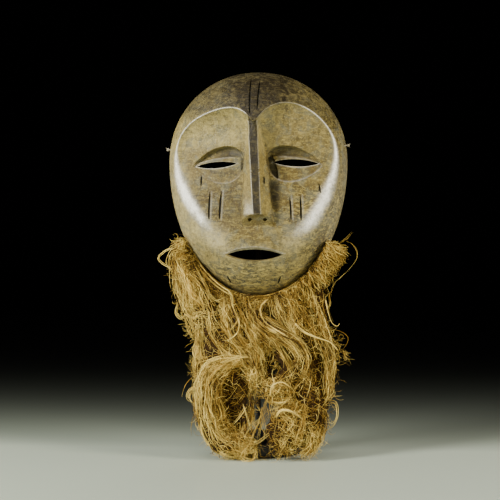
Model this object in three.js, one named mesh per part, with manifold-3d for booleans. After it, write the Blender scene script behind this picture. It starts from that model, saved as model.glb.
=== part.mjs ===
// A carved oval wooden mask with slit eyes and a long fibre beard, standing on a round black stand.
// Millimetres, +Z up. The origin is the middle of the stand's underside, and the mask faces -Y.
import * as THREE from "three";
import { mergeVertices } from "three/addons/utils/BufferGeometryUtils.js";
import Module from "manifold-3d";

const wasm = await Module();
wasm.setup();

// Stand
const baseRadius = 51;
const baseThickness = 15;
const baseEdge = 1.5;
const rodRadius = 3;
const rodSocketDepth = 11;
const hookRise = 55; // the stretch over which the rod bends forward into the hollow
const hookReach = 13; // how far inside the mask's back plane the rod ends
const crossbarRadius = 2.5;
const crossbarHalf = 17;

// Mask outline, seen from the front, measured from its widest line
const maskWidth = 192;
const crownRise = 97;
const chinDrop = 146;
const crownSquareness = 2.06; // exponent of the upper half's superellipse; 2 is a true ellipse
const chinSquareness = 2;
const widestHeight = 312; // of the widest line above the floor

// Mask body
const domeDepth = 62;
const domeFullness = 2.2;
const rimWall = 8;
const hollowDepth = 25; // behind the eyes
const hollowCrown = 13; // how much deeper the hollow is behind the forehead
const hollowChin = 9; // and behind the chin
const hollowFullness = 2.6;

// Heart-shaped face, as a radius round a centre a little below the widest line
const faceCentre = -10;
const faceRadius = 82;
const cheekFullness = 4.5;
const browNotch = 29.5;
const browNotchSpread = 19; // degrees
const browAsymmetry = 2.2; // the right brow's arch stands this much higher, the left one lower
const chinReach = 13;
const faceDepth = 41; // of the sunk face in front of the back plane, at its middle
const faceFallAside = 15; // how much less it is at the cheeks
const faceSlope = [-0.05, 0.08]; // how much it changes per millimetre up to the brow and down to the mouth
const ridgeFall = [6, 3.5]; // how steeply the face falls away from the ridge at the brow and at the lower cheeks
const muzzleFrom = -82;
const muzzleTo = -112;
const ridgeSoftness = [0.4, 5]; // rounding of the ridge at the brow and at the lower cheeks

// Nose
const noseTop = 43;
const noseTip = -55;
const noseFoot = -66.5;
const noseTopDepth = 55;
const noseTipDepth = 57.5;
const noseAxisTop = -2;
const noseAxisTip = 3;
const noseFrontHalf = [4.1, 4.9];
const noseSideHalf = [5.5, 12, 15.8]; // at the top, between the eyes and at the tip
const noseSideMiddle = -5; // the height of the middle one
const noseSideWall = 5.5;
const nostrilRadius = 2;
const nostrilSpread = 7.6;

// Eyes: sockets shaped like a leaf with its point at the temple
const eyes = [
  { side: -1, inner: 12, outer: 66, top: 16.7, bottom: -22.9, corner: -4, slit: [[20, 0.2], [63.5, -4.8]], slitHeight: 6.8 },
  { side: 1, inner: 11.5, outer: 70, top: 17.2, bottom: -21.3, corner: -3.3, slit: [[20.5, 0.2], [67, -0.8]], slitHeight: 7.8 },
];
const socketDepth = 6.5;
const socketEdge = 1.1;
const lidDepth = 3;
const lidLine = 0.74; // the upper lid's edge, as a share of the socket's height there
const lidInner = 0.14; // the share of the socket's width where the eyeball begins

// Mouth
const mouthCentre = [-0.7, -97.5];
const mouthHalf = 30;
const mouthUp = 5.6;
const mouthDown = 6.2;
const lipBevel = 2.2;

// Cut lines: the ends of each stroke as [x, z], then its width
const scars = [
  [[-5.6, 90], [-5, 50], 1.9],
  [[4.2, 88], [3, 55], 1.8],
  [[-48.3, -31], [-49, -61], 2],
  [[-36, -30], [-37.8, -61], 2.2],
  [[36.4, -36], [38, -61], 1.9],
  [[47.5, -35], [48.6, -62], 2],
  [[-56.5, -18], [-57.5, -28], 2],
  [[66.5, -23], [68.5, -33], 1.8],
  [[-31.5, -117], [-28, -124], 1.8],
  [[25, -117], [22, -123.5], 1.8],
];
const scarDepth = 1.3;

// Beard
const hankAngles = [-52, -64, -77, -90, -104, -118, -131]; // of the rim holes that its hanks are knotted through
const rimHoleRadius = 2.4;
const rimHoleDepth = 9; // of every rim hole, in front of the mask's back plane
const hankRadius = 1.7;
const hankKnotRadius = 3.6;
const collarRadii = [13, 11, 9.5]; // at the right end, under the chin and at the left end
const [collarFrom, collarTo] = [-49, -134]; // where it starts and ends, in degrees round the widest line
const collarBack = 1.2; // gap between the collar and the mask's back plane
const beardClearance = 0.5;
const curlDepthStep = 12; // how much farther forward the foot of a curl lies than its top

// Each lock is a run of places as [x, y, z, radius], from the collar down.
const locks = [
  [[-80, -14, 224, 7], [-82, -16, 203, 10], [-76, -22, 178, 12], [-67, -28, 154, 10], [-62, -32, 132, 5]],
  [[-74, -15, 206, 11], [-65, -24, 173, 15], [-46, -33, 145, 17], [-27, -40, 119, 16], [-7, -44, 97, 13], [-1, -46, 77, 7]],
  [[-28, -18, 170, 12], [-17, -30, 150, 14], [0, -40, 124, 14], [9, -44, 103, 12], [13, -47, 88, 7]],
  [[-56, -24, 154, 10], [-52, -34, 127, 9], [-44, -41, 104, 10], [-34, -46, 86, 9]],
  [[-6, -18, 168, 10], [0, -36, 148, 10], [24, -46, 131, 10], [48, -50, 115, 10], [46, -52, 97, 10], [38, -53, 82, 8]],
  [[20, -18, 168, 12], [37, -28, 151, 15], [55, -34, 130, 15], [62, -38, 104, 12], [66, -44, 84, 8]],
  [[62, -16, 182, 13], [68, -22, 150, 13], [71, -28, 118, 11], [73, -36, 84, 10], [70, -46, 48, 11], [63, -54, 18, 10]],
  [[6, -36, 138, 9], [30, -45, 118, 11], [33, -49, 100, 10], [36, -50, 82, 7]],
  [[-64, -30, 138, 6], [-61, -34, 114, 5], [-62, -40, 94, 6], [-56, -46, 76, 7]],
  [[-8, -44, 86, 7], [-10, -54, 58, 5], [-8, -58, 30, 5], [-14, -60, 14, 6]],
  [[66, -26, 132, 6], [80, -32, 118, 5], [87, -34, 104, 5]],
];
// Each curl is an arc of fibre: its centre, its two half-widths, where it starts and how far it turns, in degrees.
const curls = [
  { centre: [-31, -50, 50], wide: 23, high: 37, start: 60, turn: 235, radii: [10, 13, 13, 11] },
];
// Rounded wads of fibre: centre and half-sizes.
const wads = [
  [[-28, -44, 52], [23, 14, 37]],
  [[24, -52, 72], [19, 14, 16]],
  [[32, -56, 29], [25, 17, 26]],
  [[58, -50, 46], [20, 15, 42]],
  [[46, -42, 84], [22, 11, 20]],
];

// Side ties: a loop of twine through a hole in each side of the rim, knotted outside
const tieHeights = [14, 18]; // left and right, above the widest line
const twineRadius = 1.1;
const tieHoleRadius = 2.1;
const tieKnotRadius = 1.9;
const tieGap = 0.8;

const backGap = 0.5; // between the rod and the mask's back plane
const backPlane = -(rodRadius + backGap);
const degree = Math.PI / 180;
const halfWidth = maskWidth / 2;

const mix = THREE.MathUtils.lerp;
const smooth = THREE.MathUtils.smoothstep;

// A place on the mask: across, forward of the back plane and above the widest line.
function place(x, depth, z) {
  return new THREE.Vector3(x, backPlane - depth, widestHeight + z);
}

// Solids and meshes

function solidOf(geometry) {
  const bare = geometry.clone();
  for (const name of Object.keys(bare.attributes)) {
    if (name !== "position") bare.deleteAttribute(name);
  }
  const merged = mergeVertices(bare, 1e-4);
  return new wasm.Manifold(
    new wasm.Mesh({
      numProp: 3,
      vertProperties: new Float32Array(merged.attributes.position.array),
      triVerts: new Uint32Array(merged.index.array),
    }),
  );
}

function geometryOf(solid) {
  const mesh = solid.getMesh();
  const geometry = new THREE.BufferGeometry();
  geometry.setAttribute("position", new THREE.BufferAttribute(new Float32Array(mesh.vertProperties), 3));
  geometry.setIndex(new THREE.BufferAttribute(new Uint32Array(mesh.triVerts), 1));
  geometry.computeVertexNormals();
  return geometry;
}

const joined = (solids) => solids.reduce((whole, solid) => whole.add(solid));
const cutBy = (whole, tools) => tools.reduce((rest, tool) => rest.subtract(tool), whole);

// A closed surface through rings of points, with a point in the middle of each end, or running round on itself.
function loft(rings, { ends = null, round = false } = {}) {
  const count = rings[0].length;
  const points = rings.flat();
  const faces = [];
  const strips = round ? rings.length : rings.length - 1;
  for (let i = 0; i < strips; i++) {
    const here = i * count;
    const next = ((i + 1) % rings.length) * count;
    for (let j = 0; j < count; j++) {
      const k = (j + 1) % count;
      faces.push(here + j, here + k, next + k, here + j, next + k, next + j);
    }
  }
  if (!round) {
    const middle = (ring) => ring.reduce((sum, p) => sum.add(p), new THREE.Vector3()).divideScalar(count);
    const [first, last] = ends ?? [middle(rings[0]), middle(rings.at(-1))];
    points.push(first, last);
    const top = points.length - 2;
    const lastRing = (rings.length - 1) * count;
    for (let j = 0; j < count; j++) {
      const k = (j + 1) % count;
      faces.push(top, k, j, top + 1, lastRing + j, lastRing + k);
    }
  }
  let volume = 0;
  for (let i = 0; i < faces.length; i += 3) {
    const [a, b, c] = [points[faces[i]], points[faces[i + 1]], points[faces[i + 2]]];
    volume += a.dot(new THREE.Vector3().crossVectors(b, c));
  }
  if (volume < 0) faces.reverse();
  const geometry = new THREE.BufferGeometry().setFromPoints(points);
  geometry.setIndex(faces);
  return solidOf(geometry);
}

// A round bar along a smooth line through the places, whose radius changes smoothly from place to place.
function bar(places, radii, { sides = 8, steps = 10, round = false, roundEnds = true } = {}) {
  const line = new THREE.CatmullRomCurve3(places, round, "catmullrom", 0.5);
  const frames = line.computeFrenetFrames(steps, round);
  const radiusAt = (share) => {
    const at = share * (radii.length - 1);
    const i = Math.min(Math.floor(at), radii.length - 2);
    return mix(radii[i], radii[i + 1], smooth(at - i, 0, 1));
  };
  const ring = (share, i, scale, shift) => {
    const centre = line.getPointAt(share).addScaledVector(frames.tangents[i], shift);
    const radius = radiusAt(share) * scale;
    return Array.from({ length: sides }, (_, j) => {
      const turn = (j / sides) * 2 * Math.PI;
      return centre
        .clone()
        .addScaledVector(frames.normals[i], radius * Math.cos(turn))
        .addScaledVector(frames.binormals[i], radius * Math.sin(turn));
    });
  };
  const rings = [];
  for (let i = 0; i < (round ? steps : steps + 1); i++) rings.push(ring(i / steps, i, 1, 0));
  if (roundEnds && !round) {
    rings.unshift(ring(0, 0, 0.6, -0.6 * radiusAt(0)));
    rings.push(ring(1, steps, 0.6, 0.6 * radiusAt(1)));
  }
  return loft(rings, { round });
}

function ball(centre, radius, fineness = 1) {
  const sphere = new THREE.IcosahedronGeometry(radius, fineness);
  return solidOf(sphere.translate(centre.x, centre.y, centre.z));
}

// Mask surfaces

// How far out a place lies: 0 in the middle and 1 on the outline, which is drawn in by the inset.
function outlineShare(x, z, inset = 0) {
  const rise = (z > 0 ? crownRise : chinDrop) - inset;
  const power = z > 0 ? crownSquareness : chinSquareness;
  return (Math.abs(x / (halfWidth - inset)) ** power + Math.abs(z / rise) ** power) ** (1 / power);
}

function domeAt(x, z) {
  return domeDepth * Math.sqrt(Math.max(0, 1 - outlineShare(x, z) ** domeFullness));
}

function hollowAt(x, z) {
  const depth = hollowDepth + hollowCrown * smooth(z, 15, 60) + hollowChin * smooth(-z, 40, 90);
  return depth * Math.sqrt(Math.max(0, 1 - outlineShare(x, z, rimWall) ** hollowFullness));
}

// The distance from the middle of the face to the outline, along a direction in radians.
function reachOf(angle, inset = 0, height = faceCentre) {
  let [near, far] = [0, maskWidth + chinDrop];
  for (let i = 0; i < 40; i++) {
    const middle = (near + far) / 2;
    if (outlineShare(middle * Math.cos(angle), height + middle * Math.sin(angle), inset) < 1) near = middle;
    else far = middle;
  }
  return near;
}

// The heart-shaped ridge round the face, as a radius round the middle of the face.
function ridgeAt(angle) {
  const lift = Math.asin(Math.sin(angle)) / degree; // degrees above the level, the same on both sides
  const side = Math.sign(Math.cos(angle));
  const notch = browNotch * Math.exp(-(((90 - lift) / browNotchSpread) ** 1.15));
  const fullness = cheekFullness * Math.exp(-(((lift - 15) / 28) ** 2));
  const asymmetry = side * browAsymmetry * Math.exp(-(((lift - 58) / 22) ** 2));
  const chin = chinReach * Math.max(0, -Math.sin(angle)) ** 8;
  return faceRadius + fullness + asymmetry - notch + chin;
}

// The smaller of two depths, with the corner between them rounded.
function softMin(a, b, softness) {
  const near = Math.max(softness - Math.abs(a - b), 0) / softness;
  return Math.min(a, b) - (near * near * softness) / 4;
}

// The plane of the sunk face, a little curved from side to side.
function facePlane(x, z) {
  return faceDepth - faceFallAside * (x / faceRadius) ** 2 + Math.abs(z) * faceSlope[z > 0 ? 0 : 1];
}

// The front surface without the nose, the eyes and the mouth.
function frontAt(x, z) {
  const [angle, radius] = [Math.atan2(z - faceCentre, x), Math.hypot(x, z - faceCentre)];
  const ridge = ridgeAt(angle);
  const [ridgeX, ridgeZ] = [ridge * Math.cos(angle), faceCentre + ridge * Math.sin(angle)];
  const down = smooth(-z, -15, 75);
  const crest = domeAt(ridgeX, ridgeZ) - facePlane(ridgeX, ridgeZ);
  const face = facePlane(x, z) + crest * (radius / ridge) ** mix(ridgeFall[0], ridgeFall[1], down);
  const dome = domeAt(x, z);
  const carved = softMin(dome, face, mix(ridgeSoftness[0], ridgeSoftness[1], down));
  return mix(carved, dome, smooth(-z, -muzzleFrom, -muzzleTo));
}

// Mask

const around = 58; // places round each ring of the carved shell
const faceShares = [0.2, 0.4, 0.58, 0.74, 0.88, 1]; // of the way from the middle to the ridge
const borderShares = [0.2, 0.42, 0.65, 0.84, 0.95]; // of the way from the ridge to the outline, crowded at the rim
const hollowShares = [1, 0.98, 0.91, 0.77, 0.56, 0.28]; // of the way from the middle to the rim's inner edge
const angles = Array.from({ length: around }, (_, j) => ((j + 0.5) / around) * 2 * Math.PI);

// Rings of the front surface from the middle of the face over the ridge to the back plane, grown by a clearance.
function frontRings(grow = 0) {
  const ringAt = (radiusAt) => angles.map((angle) => {
    const radius = radiusAt(angle);
    const [x, z] = [radius * Math.cos(angle), faceCentre + radius * Math.sin(angle)];
    return place(x + grow * Math.cos(angle), frontAt(x, z) + grow, z + grow * Math.sin(angle));
  });
  const rings = faceShares.map((share) => ringAt((angle) => share * ridgeAt(angle)));
  for (const share of borderShares) {
    rings.push(ringAt((angle) => mix(ridgeAt(angle), reachOf(angle), 1 - (1 - share) ** 2)));
  }
  rings.push(ringAt((angle) => reachOf(angle)).map((point) => point.setY(backPlane)));
  return rings;
}

// The carved shell: out over the front to the rim, then down into the hollow.
function shell() {
  const rings = frontRings();
  for (const share of hollowShares) {
    rings.push(angles.map((angle) => {
      const radius = share * reachOf(angle, rimWall);
      const [x, z] = [radius * Math.cos(angle), faceCentre + radius * Math.sin(angle)];
      return place(x, share < 1 ? hollowAt(x, z) : 0, z);
    }));
  }
  const ends = [place(0, frontAt(0, faceCentre), faceCentre), place(0, hollowAt(0, faceCentre), faceCentre)];
  return loft(rings, { ends });
}

// A leaf-shaped arch over 0 to 1: blunt at the nose and pointed at the temple, and 1 at its highest.
function leaf(share, blunt, pointed) {
  const peak = blunt / (blunt + pointed);
  return (share ** blunt * (1 - share) ** pointed) / (peak ** blunt * (1 - peak) ** pointed);
}

// The socket's lower and upper edge at a share of its width.
function socketEdges(eye, share) {
  const middle = mix((eye.top + eye.bottom) / 2 + 2, eye.corner, share);
  return [middle - (middle - eye.bottom) * leaf(share, 0.38, 0.72), middle + (eye.top - middle) * leaf(share, 0.42, 0.8)];
}

// The height of the upper lid's edge, as a share of the socket's height.
function lidAt(share) {
  return Math.max(0.02, lidLine * smooth(share, lidInner * 0.4, lidInner));
}

// How far the eye lies below the face: a deep channel under the brow and by the nose, and a shallow ball below the lid.
function socketRecess(share, height) {
  const fade = 1.12 - 0.5 * share ** 2;
  const lid = lidAt(share);
  if (height > lid) return mix(socketEdge, socketDepth * fade, THREE.MathUtils.clamp((1 - height) / 0.1, 0, 1) ** 0.7);
  return socketEdge + (lidDepth - socketEdge) * fade * (height / lid) ** 2;
}

// The scoop that is carved away for one eye.
function socketTool(eye) {
  const columns = 12;
  const rows = [0, 0.4, 0.75, 0.97, 1];
  const above = [0, 0.5, 0.86, 1];
  const front = 20;
  const grid = [];
  for (let i = 0; i <= columns; i++) {
    const share = mix(0.004, 0.996, 0.5 - 0.5 * Math.cos((i / columns) * Math.PI));
    const x = eye.side * mix(eye.inner, eye.outer, share);
    const [low, high] = socketEdges(eye, share);
    const lid = lidAt(share);
    const heights = [...rows.map((row) => row * lid - (row === 1 ? 0.001 : 0)), ...above.map((row) => mix(lid + 0.02, 1, row))];
    grid.push(heights.map((height) => {
      const z = mix(low, high, height);
      return place(x, frontAt(x, z) - socketRecess(share, height), z);
    }));
  }
  const rings = grid.map((column) => [...column, column.at(-1).clone().setY(backPlane - domeDepth - front),
    column[0].clone().setY(backPlane - domeDepth - front)]);
  return loft(rings);
}

function noseAxis(z) {
  return mix(noseAxisTip, noseAxisTop, THREE.MathUtils.clamp((z - noseTip) / (noseTop - noseTip), 0, 1));
}

function noseSide(z) {
  const [top, middle, tip] = noseSideHalf;
  if (z > noseSideMiddle) return mix(middle, top, smooth(z, noseSideMiddle, noseTop));
  return mix(middle, tip, (noseSideMiddle - z) / (noseSideMiddle - noseTip));
}

// The long straight nose with a narrow flat front, bevelled sides and a sloping underside.
function nose() {
  const buried = 8;
  const section = (z, share) => {
    const axis = noseAxis(z);
    const front = mix(noseTipDepth, noseTopDepth, (z - noseTip) / (noseTop - noseTip));
    const frontHalf = mix(noseFrontHalf[1], noseFrontHalf[0], (z - noseTip) / (noseTop - noseTip));
    const sideHalf = noseSide(z);
    const base = frontAt(axis, z);
    const wall = Math.min(noseSideWall * smooth(-z, -25, 45), front - base - 1);
    return [
      [-sideHalf, base - buried],
      [-sideHalf, frontAt(axis - sideHalf, z) + wall * share],
      [-frontHalf, mix(base - 1, front, share)],
      [frontHalf, mix(base - 1, front, share)],
      [sideHalf, frontAt(axis + sideHalf, z) + wall * share],
      [sideHalf, base - buried],
    ].map(([across, depth]) => place(axis + across, depth, z));
  };
  const rings = [noseTop + 1, 30, 15, 0, -15, -30, -45, noseTip].map((z) => section(z, 1));
  rings.push(section(noseFoot, 0));
  return loft(rings);
}

function nostrilTool(side) {
  const x = noseAxis(noseTip) + side * nostrilSpread;
  const z = (noseTip + noseFoot) / 2;
  const middle = (noseTipDepth + frontAt(x, noseFoot)) / 2;
  const [out, into] = [4, 7];
  return bar([place(x, middle + out, z - out), place(x, middle - into, z + into * 0.5)], [nostrilRadius, nostrilRadius],
    { steps: 1, roundEnds: false });
}

// A lens-shaped opening through the wall, with its edge bevelled at the front where a bevel is given.
function slitTool({ centre, half, up, down, tilt = 0, bevel = 0 }) {
  const count = 18;
  const ring = (grow, depthAt) => Array.from({ length: count }, (_, j) => {
    const turn = (j / count) * 2 * Math.PI;
    const across = (half + 1.3 * grow) * Math.cos(turn);
    const rise = Math.sin(turn) > 0 ? up + 1.2 * grow : down + 0.5 * grow;
    const height = rise * Math.sign(Math.sin(turn)) * Math.sin(turn) ** 2;
    const x = centre[0] + across * Math.cos(tilt) - height * Math.sin(tilt);
    const z = centre[1] + across * Math.sin(tilt) + height * Math.cos(tilt);
    return place(x, depthAt(x, z), z);
  });
  const past = 12;
  const rings = [ring(bevel, () => domeDepth + past)];
  if (bevel) rings.push(ring(bevel, (x, z) => frontAt(x, z) + 0.2), ring(0, (x, z) => frontAt(x, z) - 1.3 * bevel));
  rings.push(ring(0, () => -past));
  return loft(rings);
}

function eyeSlit({ side, slit: [inner, outer], slitHeight }) {
  const [across, rise] = [outer[0] - inner[0], outer[1] - inner[1]];
  return slitTool({
    centre: [(side * (inner[0] + outer[0])) / 2, (inner[1] + outer[1]) / 2],
    half: across / 2,
    up: slitHeight / 2,
    down: slitHeight / 2,
    tilt: side * Math.atan2(rise, across),
  });
}

// A boat-shaped groove that follows the surface from one end of the stroke to the other.
function scarTool([from, to, width]) {
  const steps = 3;
  const rings = Array.from({ length: steps + 1 }, (_, i) => {
    const share = mix(0.02, 0.98, i / steps);
    const [x, z] = [mix(from[0], to[0], share), mix(from[1], to[1], share)];
    const half = (width / 2) * Math.sin(share * Math.PI) ** 0.5;
    const depth = frontAt(x, z);
    return [[-half, 0], [0, -scarDepth], [half, 0], [0, 2]].map(([across, rise]) => place(x + across, depth + rise, z));
  });
  return loft(rings);
}

// The way out through the rim at an angle round the widest line: a place on the outline and the direction outward.
function rimWay(angle) {
  const radius = reachOf(angle, 0, 0);
  const [x, z] = [radius * Math.cos(angle), radius * Math.sin(angle)];
  const step = 0.01;
  const across = outlineShare(x + step, z) - outlineShare(x - step, z);
  const up = outlineShare(x, z + step) - outlineShare(x, z - step);
  const outward = new THREE.Vector3(across, 0, up).normalize();
  return { on: place(x, rimHoleDepth, z), outward };
}

// How far in from the outline the hollow first lies deeper than this.
function wallAt(angle, depth) {
  const { on, outward } = rimWay(angle);
  let inward = rimWall;
  while (inward < halfWidth) {
    const at = on.clone().addScaledVector(outward, -inward);
    if (hollowAt(at.x, at.z - widestHeight) > depth) break;
    inward += 0.1;
  }
  return inward;
}

function rimHole(angle, radius) {
  const { on, outward } = rimWay(angle);
  const past = 6;
  const inner = wallAt(angle, rimHoleDepth + radius) + past;
  const ends = [on.clone().addScaledVector(outward, past), on.clone().addScaledVector(outward, -inner)];
  return bar(ends, [radius, radius], { steps: 1, roundEnds: false });
}

function tieAngle(side) {
  const height = tieHeights[side < 0 ? 0 : 1];
  return side < 0 ? Math.PI - Math.asin(height / halfWidth) : Math.asin(height / halfWidth);
}

function mask() {
  const carved = joined([cutBy(shell(), eyes.map(socketTool)), nose()]);
  return cutBy(carved, [
    ...eyes.map(eyeSlit),
    slitTool({ centre: mouthCentre, half: mouthHalf, up: mouthUp, down: mouthDown, bevel: lipBevel }),
    ...[-1, 1].map(nostrilTool),
    ...scars.map(scarTool),
    ...hankAngles.map((angle) => rimHole(angle * degree, rimHoleRadius)),
    ...[-1, 1].map((side) => rimHole(tieAngle(side), tieHoleRadius)),
  ]);
}

// Ties

// A twine loop through the side hole and round the back of the rim, with its knot and two short ends outside.
function sideTie(side) {
  const { on, outward } = rimWay(tieAngle(side));
  const loopIn = wallAt(tieAngle(side), rimHoleDepth + twineRadius) + tieGap + twineRadius;
  const loopOut = tieGap + twineRadius;
  const [across, along] = [(loopIn + loopOut) / 2, (rimHoleDepth + tieGap + twineRadius) / 2];
  const centre = on.clone().addScaledVector(outward, loopOut - across).add(new THREE.Vector3(0, along, 0));
  const count = 16;
  const places = Array.from({ length: count }, (_, i) => {
    const turn = (i / count) * 2 * Math.PI;
    const square = (value) => Math.sign(value) * Math.abs(value) ** 0.35;
    return centre
      .clone()
      .addScaledVector(outward, across * square(Math.cos(turn)))
      .add(new THREE.Vector3(0, -along * square(Math.sin(turn)), 0));
  });
  const loop = bar(places, [twineRadius, twineRadius], { sides: 5, steps: 14, round: true });
  const knot = centre.clone().addScaledVector(outward, across + 0.5);
  const tails = [[2.2, -1.6, 1.6], [1.6, -1.2, -2]].map(([out, forward, rise]) => {
    const end = knot.clone().addScaledVector(outward, out).add(new THREE.Vector3(0, forward, rise));
    return bar([knot, end], [twineRadius * 0.9, twineRadius * 0.6], { sides: 5, steps: 1 });
  });
  return joined([loop, ball(knot, tieKnotRadius), ...tails]);
}

// Beard

// The thick band of looped fibre that runs round the chin, just outside the rim.
function collar() {
  const count = 13;
  const radiusAt = (share) => (share < 0.5 ? mix(collarRadii[0], collarRadii[1], share * 2)
    : mix(collarRadii[1], collarRadii[2], share * 2 - 1));
  const places = Array.from({ length: count }, (_, i) => {
    const share = i / (count - 1);
    const { on, outward } = rimWay(mix(collarFrom, collarTo, share) * degree);
    const radius = radiusAt(share);
    return on.clone().addScaledVector(outward, radius + beardClearance).setY(backPlane - collarBack - radius);
  });
  return bar(places, collarRadii, { steps: 18 });
}

// One hank's neck through its rim hole, with the knot that holds it inside the mask.
function hank(angle) {
  const { on, outward } = rimWay(angle * degree);
  const inner = wallAt(angle * degree, rimHoleDepth + hankKnotRadius) + hankKnotRadius + beardClearance;
  const knot = on.clone().addScaledVector(outward, -inner);
  const outside = on.clone().addScaledVector(outward, collarRadii[1] * 0.6);
  const neck = bar([outside, knot], [hankRadius, hankRadius], { sides: 6, steps: 1, roundEnds: false });
  return joined([neck, ball(knot, hankKnotRadius, 0)]);
}

function lock(run) {
  const places = run.map(([x, y, z]) => new THREE.Vector3(x, y, z));
  return bar(places, run.map((entry) => entry[3]), { sides: 6, steps: 2 * run.length - 1 });
}

function curl({ centre, wide, high, start, turn, radii }) {
  const count = 9;
  const places = Array.from({ length: count }, (_, i) => {
    const angle = (start + (turn * i) / (count - 1)) * degree;
    const forward = -curlDepthStep * (0.5 - 0.5 * Math.sin(angle));
    return new THREE.Vector3(centre[0] + wide * Math.cos(angle), centre[1] + forward,
      centre[2] + high * Math.sin(angle));
  });
  return bar(places, radii, { steps: 12 });
}

function wad([centre, half]) {
  const shape = new THREE.IcosahedronGeometry(1, 1).scale(...half);
  return solidOf(shape.translate(...centre));
}

// The mask's outside, a little larger all round, with its back plane moved back behind the beard.
function maskKeepOut() {
  const rings = frontRings(beardClearance);
  const behind = rings.at(-1).map((point) => point.clone().setY(baseRadius));
  return loft([...rings, behind]);
}

function beard() {
  const [floorGap, wide] = [0.6, 400];
  const standKeepOut = joined([disc(baseRadius + beardClearance, 0, baseThickness + beardClearance),
    disc(rodRadius + beardClearance, 0, widestHeight)]);
  const underFloor = solidOf(new THREE.BoxGeometry(wide, wide, wide).translate(0, 0, floorGap - wide / 2));
  const bodyOfHair = cutBy(joined([collar(), ...locks.map(lock), ...curls.map(curl), ...wads.map(wad)]),
    [maskKeepOut(), standKeepOut, underFloor]);
  return joined([bodyOfHair, ...hankAngles.map(hank)]);
}

// Stand

function disc(radius, from, to) {
  const sides = 40;
  const cylinder = new THREE.CylinderGeometry(radius, radius, to - from, sides);
  return solidOf(cylinder.rotateX(Math.PI / 2).translate(0, 0, (from + to) / 2));
}

// The heavy round foot, with softened edges and a blind socket for the rod.
function standBase() {
  const socketGap = 0.3;
  const socket = rodRadius + socketGap;
  const profile = [
    [0, 0],
    [baseRadius - baseEdge, 0],
    [baseRadius, baseEdge],
    [baseRadius, baseThickness - baseEdge],
    [baseRadius - baseEdge, baseThickness],
    [socket, baseThickness],
    [socket, baseThickness - rodSocketDepth],
    [0, baseThickness - rodSocketDepth],
  ].map(([x, y]) => new THREE.Vector2(x, y));
  return solidOf(new THREE.LatheGeometry(profile, 40).rotateX(Math.PI / 2));
}

// The upright rod, hooked forward into the hollow, with a crossbar under the inside of the crown.
function standRod() {
  const socketGap = 0.3;
  const crossbarGap = 0.6;
  const hookDepth = hookReach;
  const ceiling = (x) => {
    let height = 0;
    while (hollowAt(x, height) > hookDepth + crossbarRadius) height += 0.1;
    return height;
  };
  const top = widestHeight + ceiling(crossbarHalf) - crossbarRadius - crossbarGap;
  const end = new THREE.Vector3(0, backPlane - hookDepth, top);
  const bend = top - hookRise;
  const places = [
    new THREE.Vector3(0, 0, baseThickness - rodSocketDepth + socketGap),
    new THREE.Vector3(0, 0, bend * 0.5),
    new THREE.Vector3(0, 0, bend),
    new THREE.Vector3(0, end.y * 0.35, bend + hookRise * 0.45),
    new THREE.Vector3(0, end.y * 0.92, bend + hookRise * 0.85),
    end,
  ];
  const rod = bar(places, [rodRadius, rodRadius], { steps: 14, roundEnds: false });
  const across = new THREE.Vector3(crossbarHalf - crossbarRadius, 0, 0);
  const crossbar = bar([end.clone().sub(across), end.clone().add(across)], [crossbarRadius, crossbarRadius],
    { steps: 1 });
  return joined([rod, crossbar]);
}

// Whole object

const wood = new THREE.MeshStandardMaterial({ color: 0x7d6b45, roughness: 0.45, metalness: 0 });
const fibre = new THREE.MeshStandardMaterial({ color: 0xa97f3c, roughness: 0.9, metalness: 0 });
const twine = new THREE.MeshStandardMaterial({ color: 0xb9a583, roughness: 0.9, metalness: 0 });
const blackSteel = new THREE.MeshStandardMaterial({ color: 0x0d0e10, roughness: 0.4, metalness: 0.2 });

function piece(name, solid, material) {
  const mesh = new THREE.Mesh(geometryOf(solid), material);
  mesh.name = name;
  return mesh;
}

const group = new THREE.Group();
group.add(
  piece("mask", mask(), wood),
  piece("fibre_beard", beard(), fibre),
  piece("side_tie_left", sideTie(-1), twine),
  piece("side_tie_right", sideTie(1), twine),
  piece("stand_base", standBase(), blackSteel),
  piece("stand_rod", standRod(), blackSteel),
);

export default group;
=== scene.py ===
# Looks for a carved oval mask with a long fibre beard on a round black stand.
# Lengths in this file are millimetres until a mesh is made, and the frame is the CAD model's.
import math

import bpy
import numpy as np
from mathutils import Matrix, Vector


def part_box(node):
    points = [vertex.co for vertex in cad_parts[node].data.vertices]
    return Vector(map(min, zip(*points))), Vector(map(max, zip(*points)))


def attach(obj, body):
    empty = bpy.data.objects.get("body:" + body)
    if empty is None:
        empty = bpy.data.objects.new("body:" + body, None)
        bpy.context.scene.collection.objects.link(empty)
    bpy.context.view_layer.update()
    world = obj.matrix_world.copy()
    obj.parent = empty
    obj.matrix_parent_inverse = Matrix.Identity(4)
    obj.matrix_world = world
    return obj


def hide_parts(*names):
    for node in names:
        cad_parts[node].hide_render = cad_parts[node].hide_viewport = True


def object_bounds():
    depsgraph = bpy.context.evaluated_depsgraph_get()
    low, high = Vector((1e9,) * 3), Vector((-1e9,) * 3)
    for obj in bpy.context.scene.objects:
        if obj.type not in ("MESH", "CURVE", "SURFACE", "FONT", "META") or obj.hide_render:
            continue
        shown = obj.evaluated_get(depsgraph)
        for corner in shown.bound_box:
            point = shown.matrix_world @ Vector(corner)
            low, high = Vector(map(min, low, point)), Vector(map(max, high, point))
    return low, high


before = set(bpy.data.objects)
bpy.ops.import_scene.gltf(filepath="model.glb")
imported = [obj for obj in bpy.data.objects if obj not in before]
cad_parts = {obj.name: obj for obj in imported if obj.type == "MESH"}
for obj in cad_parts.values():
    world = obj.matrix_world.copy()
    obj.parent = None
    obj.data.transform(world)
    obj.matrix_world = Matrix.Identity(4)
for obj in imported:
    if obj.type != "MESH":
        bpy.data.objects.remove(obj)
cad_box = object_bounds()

MM = 0.001
DEGREE = math.pi / 180
FULL_TURN = 2 * math.pi


# Numbers and fields


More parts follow.
